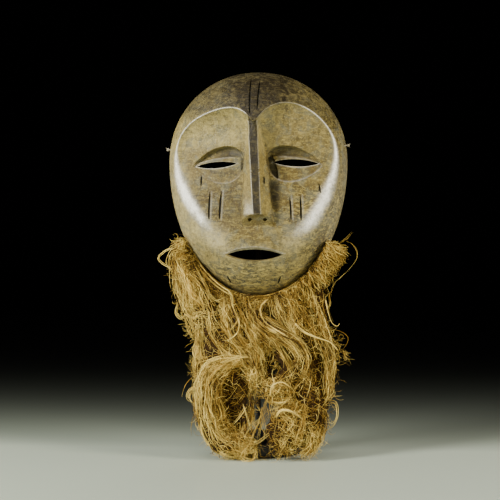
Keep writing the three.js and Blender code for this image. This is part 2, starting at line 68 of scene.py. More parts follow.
def mix(a, b, share):
    return a + (b - a) * share


def smooth(value, low, high):
    share = np.clip((value - low) / (high - low), 0, 1)
    return share * share * (3 - 2 * share)


def bell(value, width):
    """1 where the value is 0, and falling off to both sides."""
    return np.exp(-((value / width) ** 2))


def eased(distance, width):
    """0 at an edge, and close to 1 a few widths away from it."""
    return 1 - np.exp(-distance / width)


def soft_min(a, b, softness):
    near = np.maximum(softness - np.abs(a - b), 0) / softness
    return np.minimum(a, b) - near * near * softness / 4


def soft_max(a, b, softness):
    return -soft_min(-a, -b, softness)


def turns(count, offset=0):
    """Evenly spaced directions all the way round, in radians."""
    return (np.arange(count) + offset) / count * FULL_TURN


LATTICE_SIZE = 32
LATTICE = np.random.default_rng(11).random((LATTICE_SIZE,) * 3)


def noise(points, scale):
    """A smooth random field from -1 to 1, whose features are about this many millimetres across."""
    spot = np.asarray(points, float) / scale
    corner = np.floor(spot).astype(int)
    share = spot - corner
    share = share * share * (3 - 2 * share)
    total = 0
    for step in np.ndindex(2, 2, 2):
        weight = np.prod(np.where(np.array(step) == 1, share, 1 - share), axis=-1)
        index = (corner + step) % LATTICE_SIZE
        total = total + weight * LATTICE[index[..., 0], index[..., 1], index[..., 2]]
    return 2 * total - 1


def noise_vector(points, scale):
    shifts = ((0, 0, 0), (91.7, 13.1, 57.3), (37.9, 71.3, 19.7))
    return np.stack([noise(np.asarray(points) + shift, scale) for shift in shifts], axis=-1)


# Mask form. The values are the CAD model's, but for the ridge's, which follow the photo more closely.

WIDEST_HEIGHT = 312
MASK_WIDTH = 192
HALF_WIDTH = MASK_WIDTH / 2
CROWN_RISE, CHIN_DROP = 97, 146
CROWN_SQUARENESS, CHIN_SQUARENESS = 2.06, 2
DOME_DEPTH, DOME_FULLNESS = 62, 2.2
RIM_WALL = 8
HOLLOW_DEPTH, HOLLOW_CROWN, HOLLOW_CHIN, HOLLOW_FULLNESS = 25, 13, 9, 2.6
HOLLOW_CROWN_BAND, HOLLOW_CHIN_BAND = (15, 60), (40, 90)
ROD_RADIUS, BACK_GAP = 3, 0.5
BACK_PLANE = -(ROD_RADIUS + BACK_GAP)

# The ridge round the face: its radius, and where and how widely it swells or draws in, by degrees of lift.
FACE_CENTRE, FACE_RADIUS = -10, 79.5
CHEEK_FULLNESS, CHEEK_LIFT, CHEEK_SPREAD = 9.6, 24, 28
BROW_NOTCH, BROW_NOTCH_SPREAD, BROW_NOTCH_POWER, BROW_NOTCH_BLUNT = 31.8, 13.8, 1.19, 3
BROW_ASYMMETRY, BROW_LIFT, BROW_SPREAD = 3.4, 58, 22
JAW_ASYMMETRY, JAW_LIFT, JAW_SPREAD = 2.3, -42, 20
CHIN_REACH, CHIN_NARROWNESS = 18.6, 8

# The sunk face: its depth, its fall to the sides, its slope up and down, and how it rises to the ridge.
FACE_DEPTH, FACE_FALL_ASIDE = 41, 15
FACE_SLOPE = (-0.05, 0.08)
RIDGE_FALL = (6, 3.5)
RIDGE_BAND = (-15, 75)
RIDGE_SOFTNESS, RIDGE_STEP, RIDGE_STEP_POWER = (0.5, 10), 1.1, 40
MUZZLE = (82, 112)

NOSE_TOP, NOSE_TIP, NOSE_FOOT = 43, -55, -66.5
NOSE_TOP_DEPTH, NOSE_TIP_DEPTH = 55, 57.5
NOSE_AXIS_TOP, NOSE_AXIS_TIP = -2, 3
NOSE_FRONT_HALF = (4.7, 4)
NOSE_SIDE_HALF = (5.5, 12, 15.8)
NOSE_SIDE_MIDDLE = -5
NOSE_SIDE_WALL, NOSE_WALL_BAND = 5.5, (-25, 45)
NOSE_WALL_SLOPE, NOSE_TOP_SLOPE, NOSE_UNDERSIDE_POWER = 5, 4, 0.6
NOSE_FRONT_ROUNDING, NOSE_ROUNDING = 0.5, 0.8
NOSE_FILLET, NOSE_FILLET_BAND = (0.8, 9), (-12, 35)
NOSTRIL_RADIUS, NOSTRIL_SPREAD = 2.4, 8

# Each eye: the socket's ends across, its top, bottom and outer corner, the slit's ends and height,
# how deep the channel is by the nose, and how far out the lid starts at the socket's foot.
EYES = (
    dict(
        side=-1, inner=12, outer=66, top=16.7, bottom=-22.9, corner=-4,
        slit=((20, -1.4), (63, -4.6)), height=6.8, by_nose=0.1, lid_inner=0.05,
    ),
    dict(
        side=1, inner=11.5, outer=70, top=17.2, bottom=-21.3, corner=-3.3,
        slit=((18.5, 0), (66, -1.6)), height=7.8, by_nose=1, lid_inner=0.33,
    ),
)
SOCKET_DEPTH, LID_DEPTH, LOW_STEP, LID_LINE = 7.5, 3, 2, 0.7
SOCKET_LOW_LEAF, SOCKET_HIGH_LEAF, SOCKET_INNER_RISE = (0.5, 0.72), (0.38, 0.8), 4
SOCKET_LIMITS, THINNEST_LID = (0.004, 0.996), 0.02
BALL_ROUNDING, LID_ROUNDING, BROW_ROUNDING, BY_NOSE_ROUNDING = 0.9, 1.1, 1.2, 0.8

MOUTH_CENTRE, MOUTH_HALF, MOUTH_UP, MOUTH_DOWN, LIP_BEVEL = (-0.7, -97.5), 28.5, 5.6, 6.2, 2.2

# Short cuts in the wood: both ends, across and up, and the width.
SCARS = (
    ((-5.6, 90), (-5, 50), 1.9),
    ((4.2, 88), (3, 55), 1.8),
    ((-48.3, -31), (-49, -61), 2),
    ((-36, -30), (-37.8, -61), 2.2),
    ((36.4, -36), (38, -61), 1.9),
    ((47.5, -35), (48.6, -62), 2),
    ((-57.5, -14.5), (-58, -25), 2),
    ((66.5, -22), (68.5, -33), 1.8),
    ((10, -15), (10.3, -23), 1.8),
    ((-31, -120), (-27, -128), 1.8),
    ((26, -120.5), (23, -129), 1.8),
)
SCAR_DEPTH = 1.3
HANK_ANGLES = (-52, -64, -77, -90, -104, -118, -131)
RIM_HOLE_RADIUS, RIM_HOLE_DEPTH = 2.4, 9
TIE_HEIGHTS, TIE_HOLE_RADIUS = (14, 18), 2.1


def place(x, depth, z):
    """A place on the mask: across, forward of the back plane and above the widest line."""
    x, depth, z = np.broadcast_arrays(x, depth, z)
    return np.stack([x, BACK_PLANE - depth, WIDEST_HEIGHT + z], axis=-1).astype(float)


def outline_share(x, z, inset=0):
    """How far out a place lies from the middle of the widest line: 1 on the outline drawn in by the inset."""
    rise = np.where(z > 0, CROWN_RISE, CHIN_DROP) - inset
    power = np.where(z > 0, CROWN_SQUARENESS, CHIN_SQUARENESS)
    across = np.abs(x / (HALF_WIDTH - inset)) ** power
    return (across + np.abs(z / rise) ** power) ** (1 / power)


def dome_at(x, z):
    return DOME_DEPTH * np.sqrt(np.maximum(0, 1 - outline_share(x, z) ** DOME_FULLNESS))


def hollow_at(x, z):
    crown, chin = smooth(z, *HOLLOW_CROWN_BAND), smooth(-z, *HOLLOW_CHIN_BAND)
    depth = HOLLOW_DEPTH + HOLLOW_CROWN * crown + HOLLOW_CHIN * chin
    return depth * np.sqrt(np.maximum(0, 1 - outline_share(x, z, RIM_WALL) ** HOLLOW_FULLNESS))


def reach_of(angle, inset=0, height=FACE_CENTRE):
    """The distance from a point on the middle line to the outline, along a direction in radians."""
    past_the_outline, halvings = 400, 44
    near = np.zeros_like(np.asarray(angle, float))
    far = near + past_the_outline
    for _ in range(halvings):
        middle = (near + far) / 2
        inside = outline_share(middle * np.cos(angle), height + middle * np.sin(angle), inset) < 1
        near = np.where(inside, middle, near)
        far = np.where(inside, far, middle)
    return near


def ridge_at(angle):
    """The heart-shaped ridge round the face, as a radius round the middle of the face."""
    lift, side = np.arcsin(np.sin(angle)) / DEGREE, np.sign(np.cos(angle))
    from_top = np.hypot(90 - lift, BROW_NOTCH_BLUNT)
    notch = BROW_NOTCH * np.exp(-((from_top / BROW_NOTCH_SPREAD) ** BROW_NOTCH_POWER))
    fullness = CHEEK_FULLNESS * bell(lift - CHEEK_LIFT, CHEEK_SPREAD)
    brow = side * BROW_ASYMMETRY * bell(lift - BROW_LIFT, BROW_SPREAD)
    jaw = (side * JAW_ASYMMETRY - JAW_ASYMMETRY / 2) * bell(lift - JAW_LIFT, JAW_SPREAD)
    chin = CHIN_REACH * np.maximum(0, -np.sin(angle)) ** CHIN_NARROWNESS
    return FACE_RADIUS + fullness + brow + jaw + chin - notch


def face_plane(x, z):
    slope = np.where(z > 0, FACE_SLOPE[0], FACE_SLOPE[1])
    return FACE_DEPTH - FACE_FALL_ASIDE * (x / FACE_RADIUS) ** 2 + np.abs(z) * slope


def front_at(x, z):
    """The front surface without the nose, the eyes and the mouth."""
    angle, radius = np.arctan2(z - FACE_CENTRE, x), np.hypot(x, z - FACE_CENTRE)
    ridge = ridge_at(angle)
    ridge_x, ridge_z = ridge * np.cos(angle), FACE_CENTRE + ridge * np.sin(angle)
    down = smooth(-z, *RIDGE_BAND)
    crest = dome_at(ridge_x, ridge_z) - face_plane(ridge_x, ridge_z)
    inside = (radius / ridge) ** mix(*RIDGE_FALL, down)
    step = RIDGE_STEP * (1 - down) * (1 - np.minimum(radius / ridge, 1) ** RIDGE_STEP_POWER)
    face = face_plane(x, z) + crest * inside - step
    dome = dome_at(x, z)
    carved = soft_min(dome, face, mix(*RIDGE_SOFTNESS, down))
    return mix(carved, dome, smooth(-z, *MUZZLE))


def leaf(share, blunt, pointed):
    """A leaf's half-width along its length: 0 at both ends and 1 at its widest place."""
    peak = blunt / (blunt + pointed)
    return share**blunt * (1 - share) ** pointed / (peak**blunt * (1 - peak) ** pointed)


def socket_share(eye, x):
    """How far out a place lies across the socket: 0 at its end by the nose and 1 at its outer corner."""
    return (eye["side"] * x - eye["inner"]) / (eye["outer"] - eye["inner"])


def socket_edges(eye, share):
    middle = mix((eye["top"] + eye["bottom"]) / 2 + SOCKET_INNER_RISE, eye["corner"], share)
    low = middle - (middle - eye["bottom"]) * leaf(share, *SOCKET_LOW_LEAF)
    high = middle + (eye["top"] - middle) * leaf(share, *SOCKET_HIGH_LEAF)
    return low, high


def socket_places(eye, x, z):
    """Where a place lies in an eye socket: its shares across and up, the socket's height there,
    the share up at which the lid lies, and whether the place is in the socket at all."""
    raw = socket_share(eye, x)
    share = np.clip(raw, *SOCKET_LIMITS)
    low, high = socket_edges(eye, share)
    height = (z - low) / (high - low)
    inside = (raw > 0) & (raw < 1) & (height > 0) & (height < 1)
    inner = THINNEST_LID + eye["lid_inner"] * np.clip(1 - height, 0, 1)
    lid = np.maximum(THINNEST_LID, LID_LINE * smooth(share, inner * 0.55, inner))
    return share, np.clip(height, 0, 1), high - low, lid, inside


def socket_at(eye, x, z):
    """How deep the socket is cut: a channel under the brow and by the nose, and an eyeball below the lid."""
    share, height, tall, lid, inside = socket_places(eye, x, z)
    from_nose = np.clip(socket_share(eye, x), 0, 1) * (eye["outer"] - eye["inner"])
    fade = 1.12 - 0.5 * share**2
    ball = LOW_STEP + (LID_DEPTH - LOW_STEP) * fade * np.clip(height / lid, 0, 1) ** 2
    ball = ball * eased(height * tall, BALL_ROUNDING)
    above_lid = np.maximum(height - lid, 0) * tall
    deep = mix(eye["by_nose"], 1, smooth(share, 0.06, 0.3))
    channel = LID_DEPTH * fade + (SOCKET_DEPTH - LID_DEPTH) * fade * deep * eased(above_lid, LID_ROUNDING)
    channel = channel * eased((1 - height) * tall, BROW_ROUNDING) * eased(from_nose, BY_NOSE_ROUNDING)
    return np.where(inside, np.where(height > lid, channel, ball), 0)


def nose_share(z):
    """0 at the nose's tip and 1 at its top."""
    return np.clip((z - NOSE_TIP) / (NOSE_TOP - NOSE_TIP), 0, 1)


def nose_axis(z):
    return mix(NOSE_AXIS_TIP, NOSE_AXIS_TOP, nose_share(z))


def nose_front(z):
    """Half the width of the nose's flat front."""
    return mix(NOSE_FRONT_HALF[1], NOSE_FRONT_HALF[0], nose_share(z))


def nose_side(z):
    """Half the width of the nose at the foot of its sides."""
    top, middle, tip = NOSE_SIDE_HALF
    above = mix(middle, top, smooth(z, NOSE_SIDE_MIDDLE, NOSE_TOP))
    below = mix(middle, tip, np.clip((NOSE_SIDE_MIDDLE - z) / (NOSE_SIDE_MIDDLE - NOSE_TIP), 0, 1))
    return np.where(z > NOSE_SIDE_MIDDLE, above, below)


def nose_at(x, z):
    """The nose's own surface: a narrow flat front, sloping sides with low walls, and a slanted underside."""
    axis = nose_axis(z)
    across = np.abs(x - axis)
    front = mix(NOSE_TIP_DEPTH, NOSE_TOP_DEPTH, nose_share(z))
    front_half, side_half = nose_front(z), nose_side(z)
    low_wall = NOSE_SIDE_WALL * smooth(-z, *NOSE_WALL_BAND)
    foot = front_at(axis + np.sign(x - axis) * side_half, z) + low_wall
    side = front + (foot - front) * (across - front_half) / (side_half - front_half)
    shape = soft_min(front, side, NOSE_FRONT_ROUNDING)
    wall = foot - (across - side_half) * NOSE_WALL_SLOPE
    shape = soft_min(shape, wall, NOSE_ROUNDING)
    drop = np.clip((NOSE_TIP - z) / (NOSE_TIP - NOSE_FOOT), 0, 1) ** NOSE_UNDERSIDE_POWER
    under = front - drop * (front - front_at(axis, z)) - np.maximum(NOSE_FOOT - z, 0)
    shape = soft_min(shape, under, NOSE_ROUNDING)
    over = front - (z - NOSE_TOP) * NOSE_TOP_SLOPE
    return soft_min(shape, over, NOSE_ROUNDING)


def surface_at(x, z):
    """The whole front surface, before anything is cut through it."""
    depth = front_at(x, z)
    for eye in EYES:
        depth = depth - socket_at(eye, x, z)
    fillet = mix(*NOSE_FILLET, smooth(z, *NOSE_FILLET_BAND))
    return soft_max(depth, nose_at(x, z), fillet)


def rim_way(angle):
    """A place on the outline, round the widest line, and the direction outward from it."""
    radius = reach_of(np.array([angle]), 0, 0)[0]
    x, z = radius * math.cos(angle), radius * math.sin(angle)
    step = 0.01
    across = outline_share(x + step, z) - outline_share(x - step, z)
    up = outline_share(x, z + step) - outline_share(x, z - step)
    outward = np.array([across, 0, up])
    return place(x, RIM_HOLE_DEPTH, z), outward / np.linalg.norm(outward)


# Meshes and pieces


def new_object(name, data):
    obj = bpy.data.objects.new(name, data)
    bpy.context.scene.collection.objects.link(obj)
    return obj


def mesh_object(name, points, faces):
    """An object from points in millimetres and faces that all have the same number of corners."""
    mesh = bpy.data.meshes.new(name)
    mesh.vertices.add(len(points))
    mesh.vertices.foreach_set("co", (np.asarray(points) * MM).astype(np.float32).ravel())
    mesh.loops.add(faces.size)
    mesh.loops.foreach_set("vertex_index", faces.astype(np.int32).ravel())
    mesh.polygons.add(len(faces))
    mesh.polygons.foreach_set("loop_start", np.arange(0, faces.size, faces.shape[1], dtype=np.int32))
    mesh.update(calc_edges=True)
    mesh.validate()
    return new_object(name, mesh)


def hand_over(obj, material, node):
    """Gives a piece its material, puts it on the root and hides the CAD part of the node it stands for.
    Nothing moves: all ride on the root.
    """
    obj.data.materials.clear()
    obj.data.materials.append(material)
    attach(obj, "root")
    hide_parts(node)


def in_mm(box):
    """The lowest and the highest corner of a box, in millimetres."""
    return [np.array(corner) / MM for corner in box]


def vertex_vectors(obj, name):
    """One of a mesh's vectors for each vertex, such as its place or its normal."""
    vectors = np.empty(len(obj.data.vertices) * 3, np.float32)
    obj.data.vertices.foreach_get(name, vectors)
    return vectors.reshape(-1, 3).astype(float)


def points_of(obj):
    return vertex_vectors(obj, "co") / MM


def set_field(obj, name, values):
    field = obj.data.attributes.new(name, "FLOAT", "POINT")
    field.data.foreach_set("value", np.asarray(values, np.float32))


def smooth_shade(obj, angle=None):
    """Smooth shading, but for edges that are sharper than this many degrees."""
    obj.data.polygons.foreach_set("use_smooth", np.ones(len(obj.data.polygons), bool))
    if angle:
        obj.data.set_sharp_from_angle(angle=angle * DEGREE)
    obj.data.update()


def strip_faces(rows, count):
    """Triangles between neighbouring rings of this many points each, as a list of arrays."""
    j = np.arange(count)
    k = (j + 1) % count
    faces = []
    for i in range(rows - 1):
        here, there = i * count, (i + 1) * count
        faces.append(np.stack([here + j, here + k, there + k], axis=1))
        faces.append(np.stack([here + j, there + k, there + j], axis=1))
    return faces


def loft_parts(rings, first=None, last=None):
    """Points and faces of a closed skin through rings of points, with fans of triangles at both ends."""
    count = rings.shape[1]
    points = rings.reshape(-1, 3)
    first = rings[0].mean(axis=0) if first is None else first
    last = rings[-1].mean(axis=0) if last is None else last
    points = np.vstack([points, first, last])
    faces = strip_faces(len(rings), count)
    j = np.arange(count)
    k = (j + 1) % count
    top, end = len(points) - 2, (len(rings) - 1) * count
    faces.append(np.stack([np.full(count, top), k, j], axis=1))
    faces.append(np.stack([np.full(count, top + 1), end + j, end + k], axis=1))
    faces = np.vstack(faces)
    a, b, c = (points[faces[:, i]] for i in range(3))
    if np.einsum("ij,ij->i", a, np.cross(b, c)).sum() < 0:
        faces = faces[:, ::-1]
    return points, faces


def joined_parts(parts):
    points, faces, start = [], [], 0
    for some_points, some_faces in parts:
        points.append(some_points)
        faces.append(some_faces + start)
        start += len(some_points)
    return np.vstack(points), np.vstack(faces)


def apply_modifiers(obj):
    """Puts the mesh that the object's modifiers make in the place of its own."""
    bpy.context.view_layer.update()
    result = bpy.data.meshes.new_from_object(obj.evaluated_get(bpy.context.evaluated_depsgraph_get()))
    obj.modifiers.clear()
    old = obj.data
    obj.data = result
    bpy.data.meshes.remove(old)


def cut(obj, cutter):
    """Takes the cutter away from the object, and removes it."""
    modifier = obj.modifiers.new("cut", "BOOLEAN")
    modifier.operation = "DIFFERENCE"
    modifier.solver = "EXACT"
    modifier.object = cutter
    apply_modifiers(obj)
    bpy.data.objects.remove(cutter)


# Materials


class Nodes:
    """A material's node tree, with short calls to add nodes and join them."""

    SOCKETS = {
        "color": "Base Color",
        "roughness": "Roughness",
        "normal": "Normal",
        "specular": "Specular IOR Level",
    }

    def __init__(self, name):
        self.material = bpy.data.materials.new(name)
        self.material.use_nodes = True
        self.tree = self.material.node_tree
        self.shader = self.tree.nodes["Principled BSDF"]

    def add(self, kind, **values):
        node = self.tree.nodes.new(kind)
        for name, value in values.items():
            setattr(node, name, value)
        return node

    def link(self, output, socket):
        self.tree.links.new(output, socket)

    def feed(self, socket, value):
        """Sets a socket to a number or a colour, or links it to another node's output."""
        if isinstance(value, tuple):
            socket.default_value = (*value, 1)
        elif isinstance(value, (int, float)):
            socket.default_value = value
        else:
            self.link(value, socket)

    def field(self, name):
        return self.add("ShaderNodeAttribute", attribute_name=name).outputs["Fac"]

    def position(self, scale=(1, 1, 1)):
        """The place in the object's frame, in millimetres, stretched by the scale."""
        place_in_frame = self.add("ShaderNodeTexCoord").outputs["Object"]
        mapping = self.add("ShaderNodeMapping")
        mapping.inputs["Scale"].default_value = [s / MM for s in scale]
        self.link(place_in_frame, mapping.inputs["Vector"])
        return mapping.outputs["Vector"]

    def noise(self, size, detail=4, roughness=0.55, stretch=(1, 1, 1), distortion=0):
        """A noise whose features are about this many millimetres across, from 0 to 1."""
        texture = self.add("ShaderNodeTexNoise")
        texture.inputs["Scale"].default_value = 1 / size
        texture.inputs["Detail"].default_value = detail
        texture.inputs["Roughness"].default_value = roughness
        texture.inputs["Distortion"].default_value = distortion
        self.link(self.position(stretch), texture.inputs["Vector"])
        return texture.outputs["Fac"]

    def math(self, operation, a, b, clamp=False):
        node = self.add("ShaderNodeMath", operation=operation, use_clamp=clamp)
        self.feed(node.inputs[0], a)
        self.feed(node.inputs[1], b)
        return node.outputs[0]

    def times(self, a, b, clamp=False):
        return self.math("MULTIPLY", a, b, clamp)

    def plus(self, a, b, clamp=False):
        return self.math("ADD", a, b, clamp)

    def remap(self, value, low, high, to_low=0.0, to_high=1.0):
        node = self.add("ShaderNodeMapRange")
        self.link(value, node.inputs["Value"])
        numbers = (low, high, to_low, to_high)
        for name, number in zip(("From Min", "From Max", "To Min", "To Max"), numbers):
            node.inputs[name].default_value = number
        return node.outputs["Result"]

    def blend(self, share, a, b):
        """Colour a where the share is 0 and colour b where it is 1."""
        node = self.add("ShaderNodeMix", data_type="RGBA")
        self.feed(node.inputs["Factor"], share)
        self.feed(node.inputs[6], a)
        self.feed(node.inputs[7], b)
        return node.outputs[2]

    def bump(self, height, distance, below=None):
        """A bump whose full height is this many millimetres, on top of another one if it is given."""
        node = self.add("ShaderNodeBump")
        node.inputs["Distance"].default_value = distance * MM
        self.link(height, node.inputs["Height"])
        if below is not None:
            self.link(below, node.inputs["Normal"])
        return node.outputs["Normal"]

    def finish(self, **values):
        """Sets the shader's own sockets and gives the material."""
        for name, value in values.items():
            self.feed(self.shader.inputs[self.SOCKETS[name]], value)
        return self.material


WOOD_DARK, WOOD_LIGHT = (0.052, 0.038, 0.012), (0.47, 0.37, 0.13)
WOOD_OCHRE, WOOD_GREY, WOOD_GRAIN = (0.115, 0.071, 0.01), (0.15, 0.145, 0.092), (0.048, 0.034, 0.011)
STREAK_DARK, STREAK_LIGHT, STREAK_ON_STAIN = (0.058, 0.054, 0.032), (0.44, 0.345, 0.1), (0.33, 0.25, 0.08)
# near-white used both for wear and for painted highlights
SPECK, WORN_AND_HIGHLIGHT = (0.46, 0.37, 0.125), (1.0, 0.95, 0.82)
# dark colours: one for the dark patina and the painted shade and shadows, and one for the cuts, painted
# nearly black as painted shade
STAIN_AND_SHADE, CUT_SHADE = (0.02, 0.0145, 0.006), (0.01, 0.008, 0.004)
RAW_DARK, RAW_LIGHT = (0.09, 0.056, 0.026), (0.21, 0.145, 0.075)


def wood_ground(nodes, patch, fine, upright):
    """The cloudy olive-brown of the waxed wood, with ochre and grey places and upright grain."""
    cloud = nodes.noise(24, 4, 0.5, distortion=0.5)
    tone = nodes.plus(nodes.remap(cloud, 0.42, 0.6, 0.04, 0.22), nodes.remap(patch, 0.42, 0.58, 0, 0.26))
    tone = nodes.plus(tone, nodes.remap(fine, 0.38, 0.62, 0, 0.2))
    # the pale field brings painted light and shade as well as the wood's paler places
    tone = nodes.plus(tone, nodes.times(nodes.field("pale_and_painted_light"), 0.42), clamp=True)
    color = nodes.blend(tone, WOOD_DARK, WOOD_LIGHT)
    color = nodes.blend(nodes.times(nodes.field("ochre"), 0.85), color, WOOD_OCHRE)
    grey = nodes.remap(nodes.noise(15, 5, 0.6, distortion=1), 0.5, 0.6, 0, 0.6)
    color = nodes.blend(grey, color, WOOD_GREY)
    return nodes.blend(nodes.remap(upright, 0.54, 0.66, 0, 0.55), color, WOOD_GRAIN)


def wood_streaks(nodes, color):
    """Short streaks across the wood and small light specks. Gives the light streaks' share too."""
    amount = nodes.field("streaks")
    dark_streak = nodes.noise(4.6, 5, 0.72, stretch=(0.36, 1, 1.0), distortion=1.3)
    dark = nodes.times(nodes.remap(dark_streak, 0.5, 0.57, 0, 0.95), amount)
    color = nodes.blend(dark, color, STREAK_DARK)
    light_streak = nodes.noise(3.4, 5, 0.7, stretch=(0.34, 1, 1.1), distortion=1.1)
    light = nodes.times(nodes.remap(light_streak, 0.52, 0.58, 0, 0.95), amount)
    color = nodes.blend(light, color, STREAK_LIGHT)
    speck = nodes.noise(1.6, 3, 0.6)
    return nodes.blend(nodes.remap(speck, 0.56, 0.68, 0, 0.5), color, SPECK), light


def wood_material():
    nodes = Nodes("waxed_wood")
    patch = nodes.noise(9, 5, 0.62, distortion=1.6)
    fine = nodes.noise(2.8, 4, 0.65, distortion=1.0)
    upright = nodes.noise(4.4, 5, 0.68, stretch=(1, 1, 0.2), distortion=0.4)
    color, light = wood_streaks(nodes, wood_ground(nodes, patch, fine, upright))
    # the stain colour lays down both the dark patina and the painted shade and shadows
    stain_and_shade = nodes.times(nodes.field("stain_and_shade"), nodes.remap(patch, 0.4, 0.6, 1.15, 0.86), clamp=True)
    color = nodes.blend(stain_and_shade, color, STAIN_AND_SHADE)
    color = nodes.blend(nodes.times(light, 0.2), color, STREAK_ON_STAIN)
    # wear and painted highlights: the light lines on the ridge, the nose, the cuts, the eyes and the lip
    wear_and_highlight = nodes.times(nodes.field("wear_and_highlight"), nodes.remap(fine, 0.38, 0.58, 0.7, 1.35), clamp=True)
    color = nodes.blend(wear_and_highlight, color, WORN_AND_HIGHLIGHT)
    # painted shade in the cuts
    color = nodes.blend(nodes.field("cut_shade"), color, CUT_SHADE)
    raw_wood = nodes.blend(nodes.remap(upright, 0.38, 0.62), RAW_DARK, RAW_LIGHT)
    color = nodes.blend(nodes.field("inside"), color, raw_wood)
    rough = nodes.remap(patch, 0.35, 0.65, 0.4, 0.58)
    rough = nodes.plus(rough, nodes.times(nodes.field("inside"), 0.3))
    rough = nodes.plus(rough, nodes.times(stain_and_shade, 0.12))
    rough = nodes.math("SUBTRACT", rough, nodes.times(wear_and_highlight, 0.24))
    rough = nodes.plus(rough, nodes.times(nodes.field("ochre"), 0.2), clamp=True)
    normal = nodes.bump(patch, 0.9, below=nodes.bump(fine, 0.3))
    return nodes.finish(color=color, roughness=rough, normal=normal, specular=0.42)


def fibre_material(name, dark, middle, light):
    """Dry fibre, from dark to light by each point's tint, which holds the fibre's own colour and some painted
    light and shade.
    """
    nodes = Nodes(name)
    tint = nodes.field("tint")
    color = nodes.blend(nodes.remap(tint, 0, 0.5), dark, middle)
    color = nodes.blend(nodes.remap(tint, 0.5, 1), color, light)
    return nodes.finish(color=color, roughness=0.62, specular=0.15)


def core_material():
    """Matted fibre: painted dark in front to stand for the shade between the strands, and as light as the
    strands at the back.
    """
    nodes = Nodes("matted_fibre_and_shade")
    strands = nodes.noise(1.6, 6, 0.7, stretch=(1, 1, 0.35), distortion=1.5)
    share = nodes.remap(strands, 0.4, 0.62)
    # painted shade: nearly black in front, where it shows between the strands
    color = nodes.blend(share, (0.012, 0.006, 0.002), (0.07, 0.035, 0.009))
    outer = nodes.blend(share, (0.07, 0.038, 0.01), (0.36, 0.215, 0.045))
    color = nodes.blend(nodes.field("behind"), color, outer)
    return nodes.finish(color=color, roughness=0.9, normal=nodes.bump(strands, 1.2), specular=0.1)


def black_material():
    """Satin black paint with a little dust."""
    nodes = Nodes("black_paint")
    dust = nodes.remap(nodes.noise(6, 6, 0.7), 0.55, 0.8, 0, 0.35)
    color = nodes.blend(dust, (0.008, 0.008, 0.01), (0.045, 0.043, 0.04))
    rough = nodes.remap(nodes.noise(11, 5, 0.6), 0.3, 0.7, 0.28, 0.5)
    return nodes.finish(color=color, roughness=rough, normal=nodes.bump(nodes.noise(0.8, 3), 0.04))


# Mask


def lens_rings(centre, half, up, down, tilt=0.0, bevel=0.0):
    """Rings of a lens-shaped hole through the wall, bevelled at the front where a bevel is given."""
    turn = turns(72)
    past_the_wall = 12

    def ring(grow, depth_at):
        across = (half + 1.3 * grow) * np.cos(turn)
        rise = np.where(np.sin(turn) > 0, up + 1.2 * grow, down + 0.5 * grow)
        height = rise * np.sign(np.sin(turn)) * np.abs(np.sin(turn)) ** 1.7
        x = centre[0] + across * math.cos(tilt) - height * math.sin(tilt)
        z = centre[1] + across * math.sin(tilt) + height * math.cos(tilt)
        return place(x, depth_at(x, z), z)

    rings = [ring(bevel, lambda x, z: DOME_DEPTH + past_the_wall)]
    if bevel:
        rings.append(ring(bevel, lambda x, z: front_at(x, z) + 0.1))
        rings.append(ring(0, lambda x, z: front_at(x, z) - 1.3 * bevel))
    rings.append(ring(0, lambda x, z: -past_the_wall))
    return np.array(rings)


def slit_values(eye):
    """The middle, half the length and the tilt of an eye's slit."""
    (inner_x, inner_z), (outer_x, outer_z) = eye["slit"]
    across, rise = outer_x - inner_x, outer_z - inner_z
    centre = (eye["side"] * (inner_x + outer_x) / 2, (inner_z + outer_z) / 2)
    return centre, across / 2, eye["side"] * math.atan2(rise, across)


def scar_rings(start, end, width):
    """A boat-shaped groove along the surface, a little crooked like a knife stroke."""
    share = np.linspace(0.02, 0.98, 15)
    x, z = mix(start[0], end[0], share), mix(start[1], end[1], share)
    x = x + 0.35 * noise(place(x, 0, z), 9)
    half = width * 0.62 * np.sin(share**1.3 * math.pi) ** 0.45 * (1 + 0.25 * noise(place(x, 5, z), 5))
    depth = surface_at(x, z)
    lip, floor, above = depth + 0.02, depth - SCAR_DEPTH, depth + 2.5
    corners = [(-half, lip), (-0.6 * half, floor), (0.6 * half, floor), (half, lip), (0 * half, above)]
    return np.stack([place(x + across, height, z) for across, height in corners], axis=1)


def pipe_rings(start, end, radius):
    """A straight round pipe between two places."""
    along = (end - start) / np.linalg.norm(end - start)
    side = np.cross(along, [0.3, 0.9, 0.2])
    side /= np.linalg.norm(side)
    other = np.cross(along, side)
    turn = turns(20)[:, None]
    circle = radius * (np.cos(turn) * side + np.sin(turn) * other)
    return np.array([start + circle, end + circle])


def rim_hole_rings(angle, radius):
    """A hole from outside the rim into the hollow."""
    outside, inside = 6, 24
    on, outward = rim_way(angle)
    return pipe_rings(on + outside * outward, on - inside * outward, radius)


def tie_angle(side):
    height = TIE_HEIGHTS[0 if side < 0 else 1]
    angle = math.asin(height / HALF_WIDTH)
    return math.pi - angle if side < 0 else angle


def nostril_rings(side):
    """A blind hole up into the slanted underside of the nose."""
    x = NOSE_AXIS_TIP + side * NOSTRIL_SPREAD
    z = (NOSE_TIP + NOSE_FOOT) / 2
    middle = (NOSE_TIP_DEPTH + float(front_at(np.array(x), np.array(NOSE_FOOT)))) / 2
    return pipe_rings(place(x, middle + 4, z - 4), place(x, middle - 7, z + 3.5), NOSTRIL_RADIUS)


